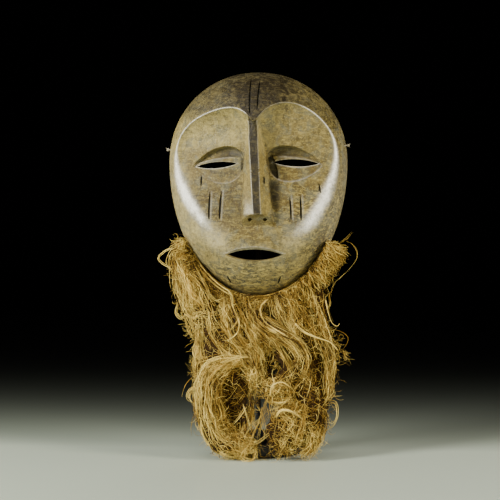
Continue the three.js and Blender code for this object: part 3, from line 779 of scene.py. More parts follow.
def mask_cutters():
    parts = []
    for eye in EYES:
        centre, half, tilt = slit_values(eye)
        parts.append(lens_rings(centre, half, eye["height"] / 2, eye["height"] / 2, tilt))
    parts.append(lens_rings(MOUTH_CENTRE, MOUTH_HALF, MOUTH_UP, MOUTH_DOWN, bevel=LIP_BEVEL))
    parts += [nostril_rings(side) for side in (-1, 1)]
    parts += [scar_rings(*scar) for scar in SCARS]
    parts += [rim_hole_rings(angle * DEGREE, RIM_HOLE_RADIUS) for angle in HANK_ANGLES]
    parts += [rim_hole_rings(tie_angle(side), TIE_HOLE_RADIUS) for side in (-1, 1)]
    points, faces = joined_parts([loft_parts(rings) for rings in parts])
    return mesh_object("cutter", points, faces)


FRONT_ROUGHNESS, HOLLOW_ROUGHNESS = 0.55, 1.2
RING_SHARE = 1
RING_POINTS = 420
FACE_STRETCHES = (0, 0.93, 70), (0.93, 1, 22)  # shares of the way to the ridge, and how many rings
BORDER_STRETCHES = (0, 0.06, 9), (0.06, 1, 30)
HOLLOW_RINGS = 18


def ring_shares(stretches):
    """Where the rings of some stretches lie, each given by its two ends and its number of rings."""
    parts = [np.linspace(low, high, int(count * RING_SHARE))[1:] for low, high, count in stretches]
    return np.concatenate(parts)


def mask_rings():
    """Rings from the middle of the face over the ridge to the rim, then down into the hollow."""
    angle = turns(RING_POINTS, 0.5)
    ridge, reach, inner_reach = ridge_at(angle), reach_of(angle), reach_of(angle, RIM_WALL)
    rings = []

    def add(radius, depth_at, roughness):
        x, z = radius * np.cos(angle), FACE_CENTRE + radius * np.sin(angle)
        depth = depth_at(x, z)
        spots = place(x, depth, z)
        depth = depth + roughness * (0.6 * noise(spots, 23) + 0.3 * noise(spots, 7.5))
        rings.append(place(x, depth, z))

    def add_rim(radius):
        add(radius, lambda x, z: 0 * x, 0)

    for share in ring_shares(FACE_STRETCHES):
        add(ridge * share, surface_at, FRONT_ROUGHNESS)
    for share in ring_shares(BORDER_STRETCHES)[:-1]:
        add(mix(ridge, reach, 1 - (1 - share) ** 2), front_at, FRONT_ROUGHNESS)
    add_rim(reach)
    add_rim(inner_reach)
    inward = np.linspace(0, 0.5 * math.pi, int(HOLLOW_RINGS * RING_SHARE), endpoint=False)[1:]
    for share in np.cos(inward) ** 0.8:
        add(inner_reach * share, hollow_at, HOLLOW_ROUGHNESS)
    return np.array(rings)


def near_line(x, z, start, end):
    """The distance from a stroke, in millimetres."""
    start, end = np.array(start), np.array(end)
    along = end - start
    share = np.clip(((x - start[0]) * along[0] + (z - start[1]) * along[1]) / (along @ along), 0, 1)
    return np.hypot(x - start[0] - share * along[0], z - start[1] - share * along[1])


def around_lens(spots, centre, half, tilt, tall, width):
    """A thin band round the edge of a lens-shaped hole."""
    x, z = spots.x - centre[0], spots.z - centre[1]
    across = x * math.cos(tilt) + z * math.sin(tilt)
    rise = np.abs(-x * math.sin(tilt) + z * math.cos(tilt))
    lens = tall * np.maximum(0, 1 - (across / half) ** 2)
    return bell(rise - lens, width) * (np.abs(across) < half + 2)


class Spots:
    """The points of the mask's mesh, and where they lie on the face."""

    def __init__(self, points):
        x, z, depth = points[:, 0], points[:, 2] - WIDEST_HEIGHT, BACK_PLANE - points[:, 1]
        self.points, self.x, self.z, self.depth = points, x, z, depth
        self.radius = np.hypot(x, z - FACE_CENTRE)
        self.beyond = self.radius - ridge_at(np.arctan2(z - FACE_CENTRE, x))  # past the ridge, outward
        self.on_left = smooth(-x, 0, 30)
        self.across = np.abs(x - nose_axis(z))
        self.along_nose = smooth(z, NOSE_TIP - 1, NOSE_TIP + 2) * smooth(-self.beyond, -1, 1)
        side_planes = smooth(nose_side(z) - self.across, -0.3, 0.8) * self.along_nose
        side_planes = side_planes * smooth(self.across - nose_front(z), -0.2, 0.8)
        self.nose_left = side_planes * (x < nose_axis(z))
        self.nose_right = side_planes - self.nose_left
        in_notch = smooth(11 - np.abs(x + 1), 0, 5)
        self.forehead = smooth(self.beyond, 0, 1) * smooth(z, mix(36, 26, in_notch), mix(58, 34, in_notch))
        self.low_cheek = smooth(-z, 55, 80) * smooth(np.abs(x), 20, 45) * smooth(100 - self.radius, 0, 20)
        self.top_right = smooth(x, -2, 6) * smooth(58 - x, 0, 20) * smooth(z, 30, 40)


def inside_field(spots):
    """1 in the hollow and on the rim, and 0 in front."""
    near_hollow = smooth(spots.depth - hollow_at(spots.x, spots.z), 3.8, 1.8)
    return near_hollow * smooth(outline_share(spots.x, spots.z), 0.985, 0.93)


def large_stains_and_shadow(spots):
    """The dark forehead, the dark front of the nose, and a painted shadow of the nose on the cheek to its
    right.
    """
    x, z = spots.x, spots.z
    blotch = noise(spots.points, 22) * 0.5 + noise(spots.points, 9) * 0.35
    crown = bell(x - 9, 40 + 24 * blotch) * mix(1, 0.7, smooth(z, 80, 96))
    on_nose = smooth(nose_front(z) - spots.across, -0.3, 0.3) * spots.along_nose
    # painted shadow: the nose's shade on the cheek to its right, away from the left lamp
    painted_shade = smooth(x - nose_axis(z) - nose_side(z), -0.5, 0.5) * smooth(30 - x, 0, 7)
    painted_shade = painted_shade * smooth(z, -52, -46) * smooth(-z, 16, 24)
    forehead = spots.forehead * (0.44 + 0.16 * smooth(-x, -10, 35) + 0.64 * crown)
    return np.clip(forehead + 0.97 * on_nose + 0.85 * painted_shade, 0, 1)


def ridge_wear_and_highlight(spots):
    """The light band along the ridge, wear and a painted highlight: thin at the brows, broad and feathered
    down the cheeks.
    """
    x, z, right = spots.x, spots.z, spots.x > 0
    down = smooth(-z, np.where(right, -45, -26), np.where(right, 66, 34))
    shift = mix(0, np.where(right, -3.2, -0.8), down)
    width = mix(0.55, np.where(right, 6.0, 4.6), down)
    end = smooth(-z, np.where(right, 62, 50), np.where(right, 84, 80))
    feather = noise(spots.points + [0, 0, 300], 13) + 0.9 * noise(spots.points * [1, 1, 0.35], 3.2)
    line = bell(spots.beyond - shift, width) * (1 - end)
    line = line * (0.6 + 0.56 * down - 0.5 * spots.top_right) * (1 + 0.4 * feather * down)
    line = line * (1 - 0.32 * down * right * smooth(-z, 20, 60))
    return line * (1 - smooth(z, 22, 30) * smooth(8 - np.abs(x + 2), 0, 3))


def nose_wear_and_highlight(spots):
    """The light edges of the nose's front, wear and a painted highlight, stronger on the left edge, and a
    painted highlight on the corner at the left of its tip.
    """
    x, z = spots.x, spots.z
    edge = bell(spots.across - nose_front(z), 0.35) * spots.along_nose * (z < NOSE_TOP)
    edge = edge * np.where(x < nose_axis(z), 1, 0.5)
    corner = spots.nose_left * smooth(nose_side(z) - spots.across, 0, 5) * smooth(-z, 36, 56)
    return np.maximum(0.34 * edge, 0.26 * corner)


def scar_fields(spots):
    """The cuts, painted nearly black as painted shade, and a painted highlight along the right side of those
    on the cheeks.
    """
    x, z = spots.x, spots.z
    cut_shade, wear_and_highlight = np.zeros_like(x), np.zeros_like(x)
    deeper = surface_at(x, z) - spots.depth
    for start, end, width in SCARS:
        cut_here = smooth(deeper, 0.1, 0.5) * (near_line(x, z, start, end) < 1.3 * width)
        cut_shade = np.maximum(cut_shade, cut_here)
        # painted highlight: a light line beside each cut's right side
        beside = near_line(x, z, (start[0] + width, start[1]), (end[0] + width, end[1]))
        painted_edge_light = 0.13 * bell(beside, 0.8) * (1 - cut_here)
        wear_and_highlight = np.maximum(wear_and_highlight, painted_edge_light * (np.abs(z + 45) < 20))
    return cut_shade, wear_and_highlight


def socket_fields(spots, eye):
    """The stain and painted shade, the wear and painted highlights, and the ochre in one eye socket."""
    share, height, tall, lid, inside = socket_places(eye, spots.x, spots.z)
    left, up = eye["side"] < 0, height * tall
    channel = smooth((height - lid) * tall, 0, 0.8) * inside * smooth(1 - height, 0, 0.06)
    below_lid = inside * (height < lid)
    # painted shade in the channel under the brow; on the left eye also on the socket's inner wall by the
    # nose, while the right eye's lid below the lid line gets a stain
    if left:
        painted_shade = 0.1 + 0.6 * smooth(share, 0.0, 0.12) * smooth(0.6 - share, 0, 0.22)
        wall_shade_and_lid_stain = 0.42 * inside * smooth(0.1 - share, 0, 0.05) * smooth(up, 0.5, 3)
    else:
        painted_shade = 0.6 * smooth(1 - share, 0.05, 0.5)
        wall_shade_and_lid_stain = 0.18 * below_lid
    below_slit = bell(up - 10.5, 2) * below_lid
    stain_and_shade = [wall_shade_and_lid_stain, channel * painted_shade, 0.3 * below_slit * smooth(share, 0.1, 0.3)]
    # painted highlights: thin light lines on the socket's lower edge, the lid's edge and the slit's rim,
    # where the carving catches the light
    low_edge = bell(up, 1.3) * inside
    lid_edge = bell((height - lid) * tall, 0.8) * inside * smooth(share, 0.15, 0.3)
    centre, half, tilt = slit_values(eye)
    rim = around_lens(spots, centre, half, tilt, eye["height"] / 2, 0.8)
    rim = rim * np.where(spots.z > centre[1], 0.1, 0.32)
    wear_and_highlight = [0.14 * low_edge * smooth(share, 0.02, 0.2), 0.14 * lid_edge, rim]
    return stain_and_shade, wear_and_highlight, (0.6 if left else 0.95) * below_lid


def face_wear_and_highlight(spots):
    """The upper lip's rim, the low cheeks and the border made lighter: wear and painted highlight, on the low
    cheeks more on the left.
    """
    lip = around_lens(spots, MOUTH_CENTRE, MOUTH_HALF + 2, 0, MOUTH_UP + 1.5, 1.1) * (spots.z > -96.5)
    cheek = mix(0.06, 0.09, spots.on_left) * spots.low_cheek
    border = smooth(spots.beyond, 1, 8) * smooth(np.abs(spots.x), 50, 80) * smooth(40 - spots.z, 0, 40)
    return [0.46 * lip, cheek, 0.05 * border]


def face_ochre(spots):
    """Warm wood at the right of the face, in its middle and between the nose and the mouth."""
    x, z, beyond = spots.x, spots.z, spots.beyond
    right = smooth(-beyond, 0, 4) * smooth(x, -10, 50) * smooth(z, -75, -20)
    middle = smooth(-beyond, 4, 16) * smooth(-z, -30, 0) * smooth(84 + z, 0, 14)
    lip = smooth(28 - np.abs(x), 0, 10) * smooth(-z, 62, 70) * smooth(92 + z, 0, 12)
    return [0.5 * right, 0.7 * middle, 0.8 * lip, 0.35 * spots.nose_right]


def cheek_dirt(spots):
    """Grey dirt on the cheeks beside the nose."""
    down_the_cheek = smooth(-spots.z, 18, 34) * (1 - smooth(-spots.z, 56, 76))
    return 0.95 * smooth(-spots.beyond, 2, 14) * down_the_cheek * smooth(spots.across, 12, 17)


def pale_and_painted_light_field(spots):
    """Where the wood is paler than elsewhere, where light is painted on the left border and the left low
    cheek and shade on the right border, and where dirt makes it darker.
    """
    x, z, beyond = spots.x, spots.z, spots.beyond
    brow = smooth(-beyond, 0, 2) * smooth(z, 8, 22) * smooth(60 - x, 0, 90)
    # painted light on the left border and painted shade on the right one; the left low cheek is also painted
    # lighter
    left_border = (beyond > 0) * smooth(-x, 45, 75) * smooth(80 - z, 0, 50)
    right_border = (beyond > 0) * smooth(x, 45, 75) * smooth(80 - z, 0, 50)
    pale_and_painted_light = 0.75 * brow + (0.5 + 0.46 * spots.on_left) * spots.low_cheek
    pale_and_painted_light = pale_and_painted_light + 0.6 * left_border - 0.6 * right_border + 0.9 * spots.nose_left + 0.8 * spots.nose_right
    low_dirt = smooth(-z, 60, 70) * smooth(-beyond, 4, 14) * smooth(60 - np.abs(x), 0, 20)
    return np.clip(pale_and_painted_light - cheek_dirt(spots) - 0.2 * low_dirt, -0.5, 1)


def streak_field(spots):
    """How strongly short streaks cross the wood: fully on the chin, and less elsewhere."""
    right_cheek = 0.35 + 0.4 * smooth(spots.x, 30, 60) * smooth(-spots.z, 20, 40)
    return np.maximum.reduce([smooth(-spots.z, 95, 112), 0.5 * spots.forehead, right_cheek])


def mask_fields(obj):
    """Where the wood is stained dark or has painted shade, is worn light or has painted highlights, is pale
    or has painted light and shade on its borders, is cut into or left raw, for its material.
    """
    spots = Spots(points_of(obj))
    inside = inside_field(spots)
    front = 1 - inside
    cut_shade, scar_highlight = scar_fields(spots)
    # painted shade along the top-right ridge, damping the light that its crest catches
    stain_and_shade = [large_stains_and_shadow(spots), 0.5 * spots.top_right * bell(spots.beyond, 0.9)]
    stain_and_shade.append(mix(0.05, 0.17, spots.on_left) * cheek_dirt(spots))
    wear_and_highlight = [ridge_wear_and_highlight(spots), nose_wear_and_highlight(spots), scar_highlight, *face_wear_and_highlight(spots)]
    ochre = face_ochre(spots)
    for eye in EYES:
        eye_stain_and_shade, eye_highlights, eye_ochre = socket_fields(spots, eye)
        stain_and_shade += eye_stain_and_shade
        wear_and_highlight += eye_highlights
        ochre.append(eye_ochre)
    set_field(obj, "stain_and_shade", np.maximum(np.maximum.reduce(stain_and_shade), 0) * front)
    set_field(obj, "wear_and_highlight", np.maximum.reduce(wear_and_highlight) * front)
    set_field(obj, "pale_and_painted_light", pale_and_painted_light_field(spots))
    set_field(obj, "streaks", streak_field(spots))
    set_field(obj, "ochre", np.maximum.reduce(ochre) * front)
    set_field(obj, "cut_shade", cut_shade * front * 0.95)
    set_field(obj, "inside", inside)


def make_mask():
    middle = np.array([0.0]), np.array([float(FACE_CENTRE)])
    first = place(middle[0], surface_at(*middle), middle[1])[0]
    last = place(middle[0], hollow_at(*middle), middle[1])[0]
    points, faces = loft_parts(mask_rings(), first, last)
    obj = mesh_object("carved_mask", points, faces)
    cut(obj, mask_cutters())
    mask_fields(obj)
    smooth_shade(obj, angle=38)
    hand_over(obj, wood_material(), "mask")


# Strands


def curve_points(places, count):
    """Evenly spaced points on a smooth line through the places, which may have more than three columns."""
    places = np.asarray(places, float)
    padded = np.vstack([2 * places[0] - places[1], places, 2 * places[-1] - places[-2]])
    fine = []
    for i in range(len(places) - 1):
        a, b, c, d = padded[i : i + 4]
        t = np.linspace(0, 1, 16, endpoint=i == len(places) - 2)[:, None]
        square, cube = (2 * a - 5 * b + 4 * c - d) * t**2, (3 * b - a - 3 * c + d) * t**3
        fine.append(0.5 * (2 * b + (c - a) * t + square + cube))
    fine = np.vstack(fine)
    length = np.concatenate([[0], np.cumsum(np.linalg.norm(np.diff(fine[:, :3], axis=0), axis=1))])
    at = np.linspace(0, length[-1], count)
    return np.stack([np.interp(at, length, fine[:, i]) for i in range(fine.shape[1])], axis=1)


def unit(vectors):
    return vectors / np.maximum(np.linalg.norm(vectors, axis=-1, keepdims=True), 1e-9)


def strand_parts(lines, widths, sides=3):
    """Thin closed tubes along lines, an array of strands, points and coordinates. They taper to both ends."""
    strands, steps = lines.shape[:2]
    along = unit(np.gradient(lines, axis=1))
    helper = unit(np.random.default_rng(3).normal(size=(strands, 1, 3)))
    side = unit(np.cross(along, helper))
    other = np.cross(along, side)
    share = np.linspace(0, 1, steps)
    taper = np.minimum(1, 0.55 + 2.5 * share) * np.minimum(1, 0.25 + 2.2 * (1 - share))
    radius = (widths[:, None] / 2 * taper)[..., None]
    flatness = 0.7
    rings = []
    for i in range(sides):
        turn = i / sides * 2 * math.pi
        rings.append(lines + radius * (math.cos(turn) * side + flatness * math.sin(turn) * other))
    points = np.stack(rings, axis=2).reshape(-1, 3)
    strip = strip_faces(steps, sides)
    last = (steps - 1) * sides
    strip.append(np.array([[0, sides - 1 - i, sides - 2 - i] for i in range(sides - 2)]))
    strip.append(np.array([[last, last + i + 1, last + i + 2] for i in range(sides - 2)]))
    strip = np.vstack(strip)
    starts = np.arange(strands)[:, None, None] * steps * sides
    return points, (strip[None] + starts).reshape(-1, 3)


# Where fibre may lie: how far it reaches over the mask's rim, and its least distances from the other pieces.
CHIN_COVER, COVER_SPREAD, MOST_COVER = 4, 2.2, 9
BACK_LIMIT = 3
RIM_CLEARANCE, DOME_CLEARANCE, FLOOR_CLEARANCE = 0.6, 0.8, 0.6
FOOT_RADIUS, FOOT_HEIGHT = 51, 15
FOOT_CLEARANCE, FOOT_TOP_CLEARANCE = 0.6, 0.8
MOST_PROUD = 8  # how far a strand may stand past the CAD model's box
BEARD_TOP = 232
SIDE_SLACK = 4.5

# How far the fibre reaches at each height: (height, left side, right side).
SIDES = (
    (-5, -44, 56), (12, -45, 64), (28, -55, 70), (50, -61, 74), (70, -64, 78),
    (91, -66, 81), (102, -65, 85), (112, -63, 84), (124, -62, 79), (141, -68, 73),
    (152, -77, 72), (167, -81, 75), (190, -88, 85), (212, -91, 95), (240, -90, 96),
)

# Dark gaps between the locks: middle and half sizes across and up, and the share of strands left there.
GAPS = (
    ((-50, 119), (4.5, 12), 0.4),
    ((22, 100), (9, 13), 0.12),
    ((9.5, 38), (6, 24), 0.15),
    ((9, 155), (4, 10), 0.25),
    ((18, 139), (9, 4), 0.35),
    ((55, 124), (8, 10), 0.2),
    ((64, 104), (6, 12), 0.3),
    ((-20, 68), (12, 20), 0.55),
    ((58, 74), (12, 20), 0.7),
)
CROSSING_SHARE = 0.12


def kept_clear(rng, lines):
    """Moves points of strands off the mask, but for a band at its rim, and out of the foot and the floor."""
    x, y, z = (lines[..., i].copy() for i in range(3))
    rise = z - WIDEST_HEIGHT
    cover = CHIN_COVER - np.minimum(rng.exponential(COVER_SPREAD, (len(lines), 1)), MOST_COVER)
    share = outline_share(x, rise, cover)
    inside = (share < 1) & (y < BACK_LIMIT)
    push = 1 / np.maximum(share, 0.3)
    x = np.where(inside, x * push, x)
    rise = np.where(inside, rise * push, rise)
    on_rim = (outline_share(x, rise, -RIM_CLEARANCE) < 1) & (y < BACK_LIMIT)
    y = np.where(on_rim, np.minimum(y, BACK_PLANE - dome_at(x, rise) - DOME_CLEARANCE), y)
    z = WIDEST_HEIGHT + rise
    foot = FOOT_RADIUS + FOOT_CLEARANCE
    in_foot = (z < FOOT_HEIGHT + FOOT_TOP_CLEARANCE) & (np.hypot(x, y) < foot)
    y = np.where(in_foot, -np.sqrt(np.maximum(foot**2 - x**2, 0)), y)
    z = np.maximum(z, FLOOR_CLEARANCE)
    return np.stack([x, y, z], axis=-1)


def within_sides(rng, lines):
    """Which strands stay: those past the beard's sides are left out, apart from a few short ends."""
    heights, left, right = np.array(SIDES, float).T
    beyond_left = np.interp(lines[..., 2], heights, left) - lines[..., 0]
    beyond_right = lines[..., 0] - np.interp(lines[..., 2], heights, right)
    beyond_top = lines[..., 2] - BEARD_TOP
    beyond = np.maximum(np.maximum(beyond_left, beyond_right), beyond_top).max(axis=1)
    return beyond < np.abs(rng.normal(0, SIDE_SLACK, len(lines)))


def within_box(lines):
    """Which strands stay: those that reach too far past the CAD model's box are left out."""
    low, high = in_mm(cad_box)
    inside = (lines > low - MOST_PROUD) & (lines < high + MOST_PROUD)
    return inside.all(axis=(1, 2))


def outside_gaps(rng, lines):
    """Which strands stay: most of those that cross a gap are left out."""
    stays = np.ones(len(lines), bool)
    for (x, z), (wide, high), left in GAPS:
        near = (((lines[..., 0] - x) / wide) ** 2 + ((lines[..., 2] - z) / high) ** 2) < 1
        crosses = near.mean(axis=1) > CROSSING_SHARE
        stays &= ~crosses | (rng.uniform(0, 1, len(lines)) < left)
    return stays


class Beard:
    """Gathers strands and makes them into pieces of a size that a mesh viewer can hold."""

    MOST_TRIANGLES = 190000

    def __init__(self, seed):
        self.rng = np.random.default_rng(seed)
        self.batches = []

    def add(self, lines, widths, tints, gaps=True):
        """Adds strands with a width and a tint for each, and leaves out those that don't fit."""
        lines, tints = kept_clear(self.rng, lines), np.clip(tints, 0, 1)
        stays = within_box(lines)
        if gaps:
            stays &= outside_gaps(self.rng, lines) & within_sides(self.rng, lines)
        self.batches.append((lines[stays], widths[stays], tints[stays]))

    def pieces(self, name, material):
        """Fills one piece after another. A strand's tint changes along it, and in patches of the beard."""
        number, parts, tints, faces = 0, [], [], 0
        for lines, widths, tint in self.batches:
            points, some_faces = strand_parts(lines, widths)
            if faces + len(some_faces) > self.MOST_TRIANGLES:
                self.finish(f"{name}_{number}", parts, tints, material)
                number, parts, tints, faces = number + 1, [], [], 0
            parts.append((points, some_faces))
            along = tint[:, None] + 0.3 * noise(lines, 10) + 0.12 * np.linspace(-1, 1, lines.shape[1])
            tints.append(np.repeat(np.clip(along, 0, 1).ravel(), 3))
            faces += len(some_faces)
        self.finish(f"{name}_{number}", parts, tints, material)

    def finish(self, name, parts, tints, material):
        obj = mesh_object(name, *joined_parts(parts))
        set_field(obj, "tint", np.concatenate(tints))
        smooth_shade(obj)
        hand_over(obj, material, "fibre_beard")


# Flows of combed fibre, from the rim down: places as (x, y, z, radius), the number of clumps, how light
# and how unruly they are, and how many single fibres stray round them.
FLOWS = {
    "left_combed": (
        [(-84, -15, 225, 4), (-86, -19, 207, 6), (-76, -26, 186, 11), (-64, -32, 165, 14),
         (-54, -36, 146, 12)],
        100, 0.88, 0.8, 560,
    ),
    "left_edge": (
        [(-85, -17, 205, 5), (-84, -20, 181, 8), (-77, -24, 162, 7), (-71, -27, 141, 4), (-65, -29, 128, 3)],
        34, 0.7, 0.8, 110,
    ),
    "left_lock": (
        [(-65, -30, 146, 6), (-60, -32, 128, 5.5), (-60, -34, 110, 5.5), (-56, -36, 93, 6),
         (-54, -38, 81, 5)],
        40, 0.74, 0.7, 260,
    ),
    "left_tuft": (
        [(-36, -40, 110, 3), (-51, -39, 105, 4), (-63, -38, 101, 4), (-64, -38, 89, 4), (-59, -39, 77, 4)],
        14, 0.75, 0.6, 60,
    ),
    "left_band": (
        [(-72, -17, 214, 6), (-62, -22, 198, 9), (-48, -27, 183, 10), (-33, -31, 171, 9), (-18, -31, 164, 7)],
        44, 0.18, 1.2, 360,
    ),
    "chin_band": (
        [(-26, -24, 168, 7), (-8, -24, 164, 8), (10, -23, 164, 8), (30, -22, 169, 9), (48, -20, 178, 9)],
        48, 0.44, 1.1, 360,
    ),
    "middle_left": (
        [(-52, -30, 165, 8), (-46, -36, 145, 11), (-34, -41, 126, 11), (-18, -44, 110, 10), (0, -46, 97, 8),
         (3, -46, 80, 5)],
        60, 0.68, 0.9, 600,
    ),
    "middle": (
        [(-33, -28, 169, 10), (-27, -37, 149, 14), (-16, -43, 129, 14), (-3, -46, 112, 12), (1, -47, 91, 9),
         (-5, -46, 77, 5)],
        78, 0.74, 1.0, 760,
    ),
    "middle_right": (
        [(-12, -26, 169, 10), (-8, -36, 153, 12), (1, -42, 137, 10), (9, -45, 119, 8), (7, -46, 98, 7),
         (3, -46, 77, 5)],
        50, 0.6, 0.7, 260,
    ),
    "tress": (
        [(8, -26, 166, 5), (1, -38, 155, 6), (7, -46, 143, 7), (24, -51, 133, 8), (42, -55, 122, 9),
         (51, -56, 107, 9), (46, -56, 88, 6)],
        60, 0.64, 0.3, 140,
    ),
    "tress_inside": (
        [(-8, -42, 146, 6), (5, -47, 134, 7), (18, -50, 121, 8), (28, -53, 106, 8), (38, -54, 88, 5)],
        50, 0.56, 0.4, 110,
    ),
    "right": (
        [(25, -22, 174, 12), (34, -34, 158, 15), (44, -42, 140, 15), (58, -44, 123, 12), (66, -45, 106, 8)],
        76, 0.44, 1.0, 620,
    ),
    "curl_low": (
        [(-55, -54, 54, 6), (-52, -56, 38, 7), (-43, -57, 22, 7), (-28, -58, 13, 6), (-12, -60, 10, 5)],
        56, 0.8, 0.9, 320,
    ),
    "right_edge": (
        [(54, -18, 178, 11), (60, -26, 159, 11), (65, -33, 140, 11), (72, -38, 122, 9), (79, -42, 104, 7),
         (80, -46, 83, 6), (78, -48, 65, 5), (69, -50, 52, 4)],
        80, 0.6, 0.8, 480,
    ),
    "right_inside": (
        [(52, -38, 114, 10), (58, -42, 91, 12), (60, -46, 70, 12), (56, -48, 51, 10)],
        42, 0.3, 1.2, 320,
    ),
    "right_low": (
        [(66, -44, 56, 9), (71, -48, 39, 10), (67, -52, 23, 9), (56, -55, 9, 6)],
        48, 0.42, 1.0, 260,
    ),
    "low_tress": (
        [(48, -60, 48, 5), (46, -64, 33, 6), (38, -66, 18, 6), (28, -66, 9, 4)],
        24, 0.72, 0.4, 50,
    ),
    "low_tress_right": (
        [(54, -56, 42, 6), (61, -58, 28, 6), (59, -60, 14, 6), (51, -61, 6, 3)],
        26, 0.68, 0.6, 80,
    ),
    "curl": (
        [(-12, -50, 102, 6), (-28, -53, 101, 8), (-44, -55, 91, 9), (-51, -56, 75, 10), (-52, -57, 57, 10),
         (-48, -57, 39, 9), (-39, -57, 22, 9), (-23, -57, 13, 8), (-4, -57, 11, 7)],
        92, 0.86, 1.1, 800,
    ),
    "curl_inside": (
        [(-20, -50, 91, 6), (-34, -55, 83, 8), (-41, -58, 68, 9), (-39, -58, 50, 9), (-31, -58, 33, 8),
         (-17, -58, 20, 7)],
        44, 0.34, 1.1, 360,
    ),
    "middle_thin": (
        [(0, -46, 79, 4), (-3, -50, 62, 3.5), (-5, -53, 44, 3.5), (-8, -55, 25, 4), (-4, -57, 8, 4)],
        12, 0.5, 0.8, 30,
    ),
    "right_tuft": (
        [(72, -32, 132, 5), (82, -33, 124, 5), (90, -34, 115, 4), (91, -34, 103, 3)],
        8, 0.66, 0.7, 30,
    ),
}

# Tangled wads: middle, half sizes, number of fibres and how light they are.
WADS = (
    ((-22, -46, 62), (22, 12, 30), 640, 0.2),
    ((26, -54, 74), (18, 14, 16), 420, 0.62),
    ((31, -57, 30), (22, 16, 25), 560, 0.52),
    ((58, -50, 42), (18, 14, 36), 420, 0.4),
    ((50, -44, 86), (20, 11, 22), 460, 0.3),
    ((-22, -57, 15), (28, 10, 14), 420, 0.6),
    ((42, -58, 52), (16, 12, 12), 240, 0.35),
)
COLLAR_RADII = (13, 11, 9.5)  # at the right end, under the chin and at the left end
COLLAR_ANGLES = (-47, -134)
COLLAR_BACK, COLLAR_FORWARD = 1.2, 4


class Guide:
    """A smooth line with its radius, and the directions along it, across it and towards the front."""

    def __init__(self, places):
        self.line = curve_points(places, 60)
        self.along = unit(np.gradient(self.line[:, :3], axis=0))
        self.side = unit(np.cross(self.along, [0.0, 1.0, 0.0]))
        self.front = np.cross(self.side, self.along)

    def outward(self, share, turn):
        return np.cos(turn) * at_share(self.side, share) + np.sin(turn) * at_share(self.front, share)


def at_share(rows, share):
    """The rows' value at a share of the way from the first to the last."""
    at = np.clip(share, 0, 1) * (len(rows) - 1)
    index = np.minimum(at.astype(int), len(rows) - 2)
    return mix(rows[index], rows[index + 1], (at - index)[..., None])


def noise_seeds(rng, count):
    """Far-apart places in the noise, so that each strand or clump has its own."""
    return rng.uniform(0, 400, (count, 1, 3))


def curly_lines(rng, start, heading, toward, length, bend, steps):
    """Lines that set off along a heading and bend towards a direction like a loose spring."""
    count = len(start)
    toward = unit(toward - (toward * heading).sum(axis=1, keepdims=True) * heading)
    share = np.linspace(0, 1, steps)[None]
    sway = rng.normal(0, 0.65, (count, 1))
    sway = sway * np.sin(share * rng.uniform(3, 10, (count, 1)) + rng.uniform(0, 6, (count, 1)))
    angle = (bend * length)[:, None] * share + sway
    rise = rng.normal(0, 0.35, (count, 1)) + 0.3 * np.sin(share * rng.uniform(3, 9, (count, 1)))
    across = np.cross(heading, toward)
    move = np.cos(angle)[..., None] * heading[:, None] + np.sin(angle)[..., None] * toward[:, None]
    move = (move + rise[..., None] * across[:, None]) * (length / (steps - 1))[:, None, None]
    move[:, 0] = 0
    return start[:, None] + np.cumsum(move, axis=1)


def frayed(rng, lines, seeds, wild):
    """Lines that sway with their clump and each by itself, more and more towards their ends."""
    count, steps = lines.shape[:2]
    grow = np.linspace(0, 1, steps)[None, :, None]
    lines = lines + wild * 5.5 * noise_vector(lines * 0.8 + seeds, 14) * (0.45 + 0.55 * grow)
    lines = lines + rng.normal(0, 1, (count, 1, 3)) * (0.7 + (1.1 + 1.4 * wild) * grow)
    return lines + noise_vector(lines + noise_seeds(rng, count), 7) * (0.8 + 1.9 * wild * grow)


def add_flow(beard, places, clumps, light, wild, stray):
    """Clumps of strands along a guide, which fray towards their ends, with single fibres across them."""
    rng, guide = beard.rng, Guide(places)
    each, steps = 6, 8
    count = clumps * each

    def shared(values):
        return np.repeat(values, each, axis=0)

    span = shared(rng.uniform(0.28, 0.62, clumps)) * rng.uniform(0.75, 1.1, count)
    start = shared(rng.uniform(-0.02, 1, clumps)) * (1.02 - span) + rng.normal(0, 0.015, count)
    share = start[:, None] + span[:, None] * np.linspace(0, 1, steps)
    centre = at_share(guide.line, share)
    turn = shared(rng.uniform(0, FULL_TURN, clumps))[:, None]
    turn = turn + shared(rng.normal(0, 1.2, clumps))[:, None] * (share - start[:, None])
    reach = shared(np.sqrt(rng.uniform(0.2, 1.08, clumps)))[:, None]
    radius = centre[..., 3] * reach
    lines = centre[..., :3] + (radius * np.cos(turn))[..., None] * at_share(guide.side, share)
    lines = lines + (radius * np.sin(turn))[..., None] * at_share(guide.front, share)
    lines = frayed(rng, lines, shared(noise_seeds(rng, clumps)), wild)
    # painted light: strands on the front of a clump are made lighter
    facing = np.sin(turn.mean(axis=1)) * reach[:, 0]
    tints = light + 0.1 + 0.16 * facing + shared(rng.normal(0, 0.18, clumps)) + rng.normal(0, 0.2, count)
    tints = tints - 0.6 * (rng.uniform(0, 1, count) < 0.34)
    beard.add(lines, rng.uniform(0.34, 0.8, count), tints, gaps=wild > 0.35)
    add_stray_fibres(beard, guide, stray, light, wild)


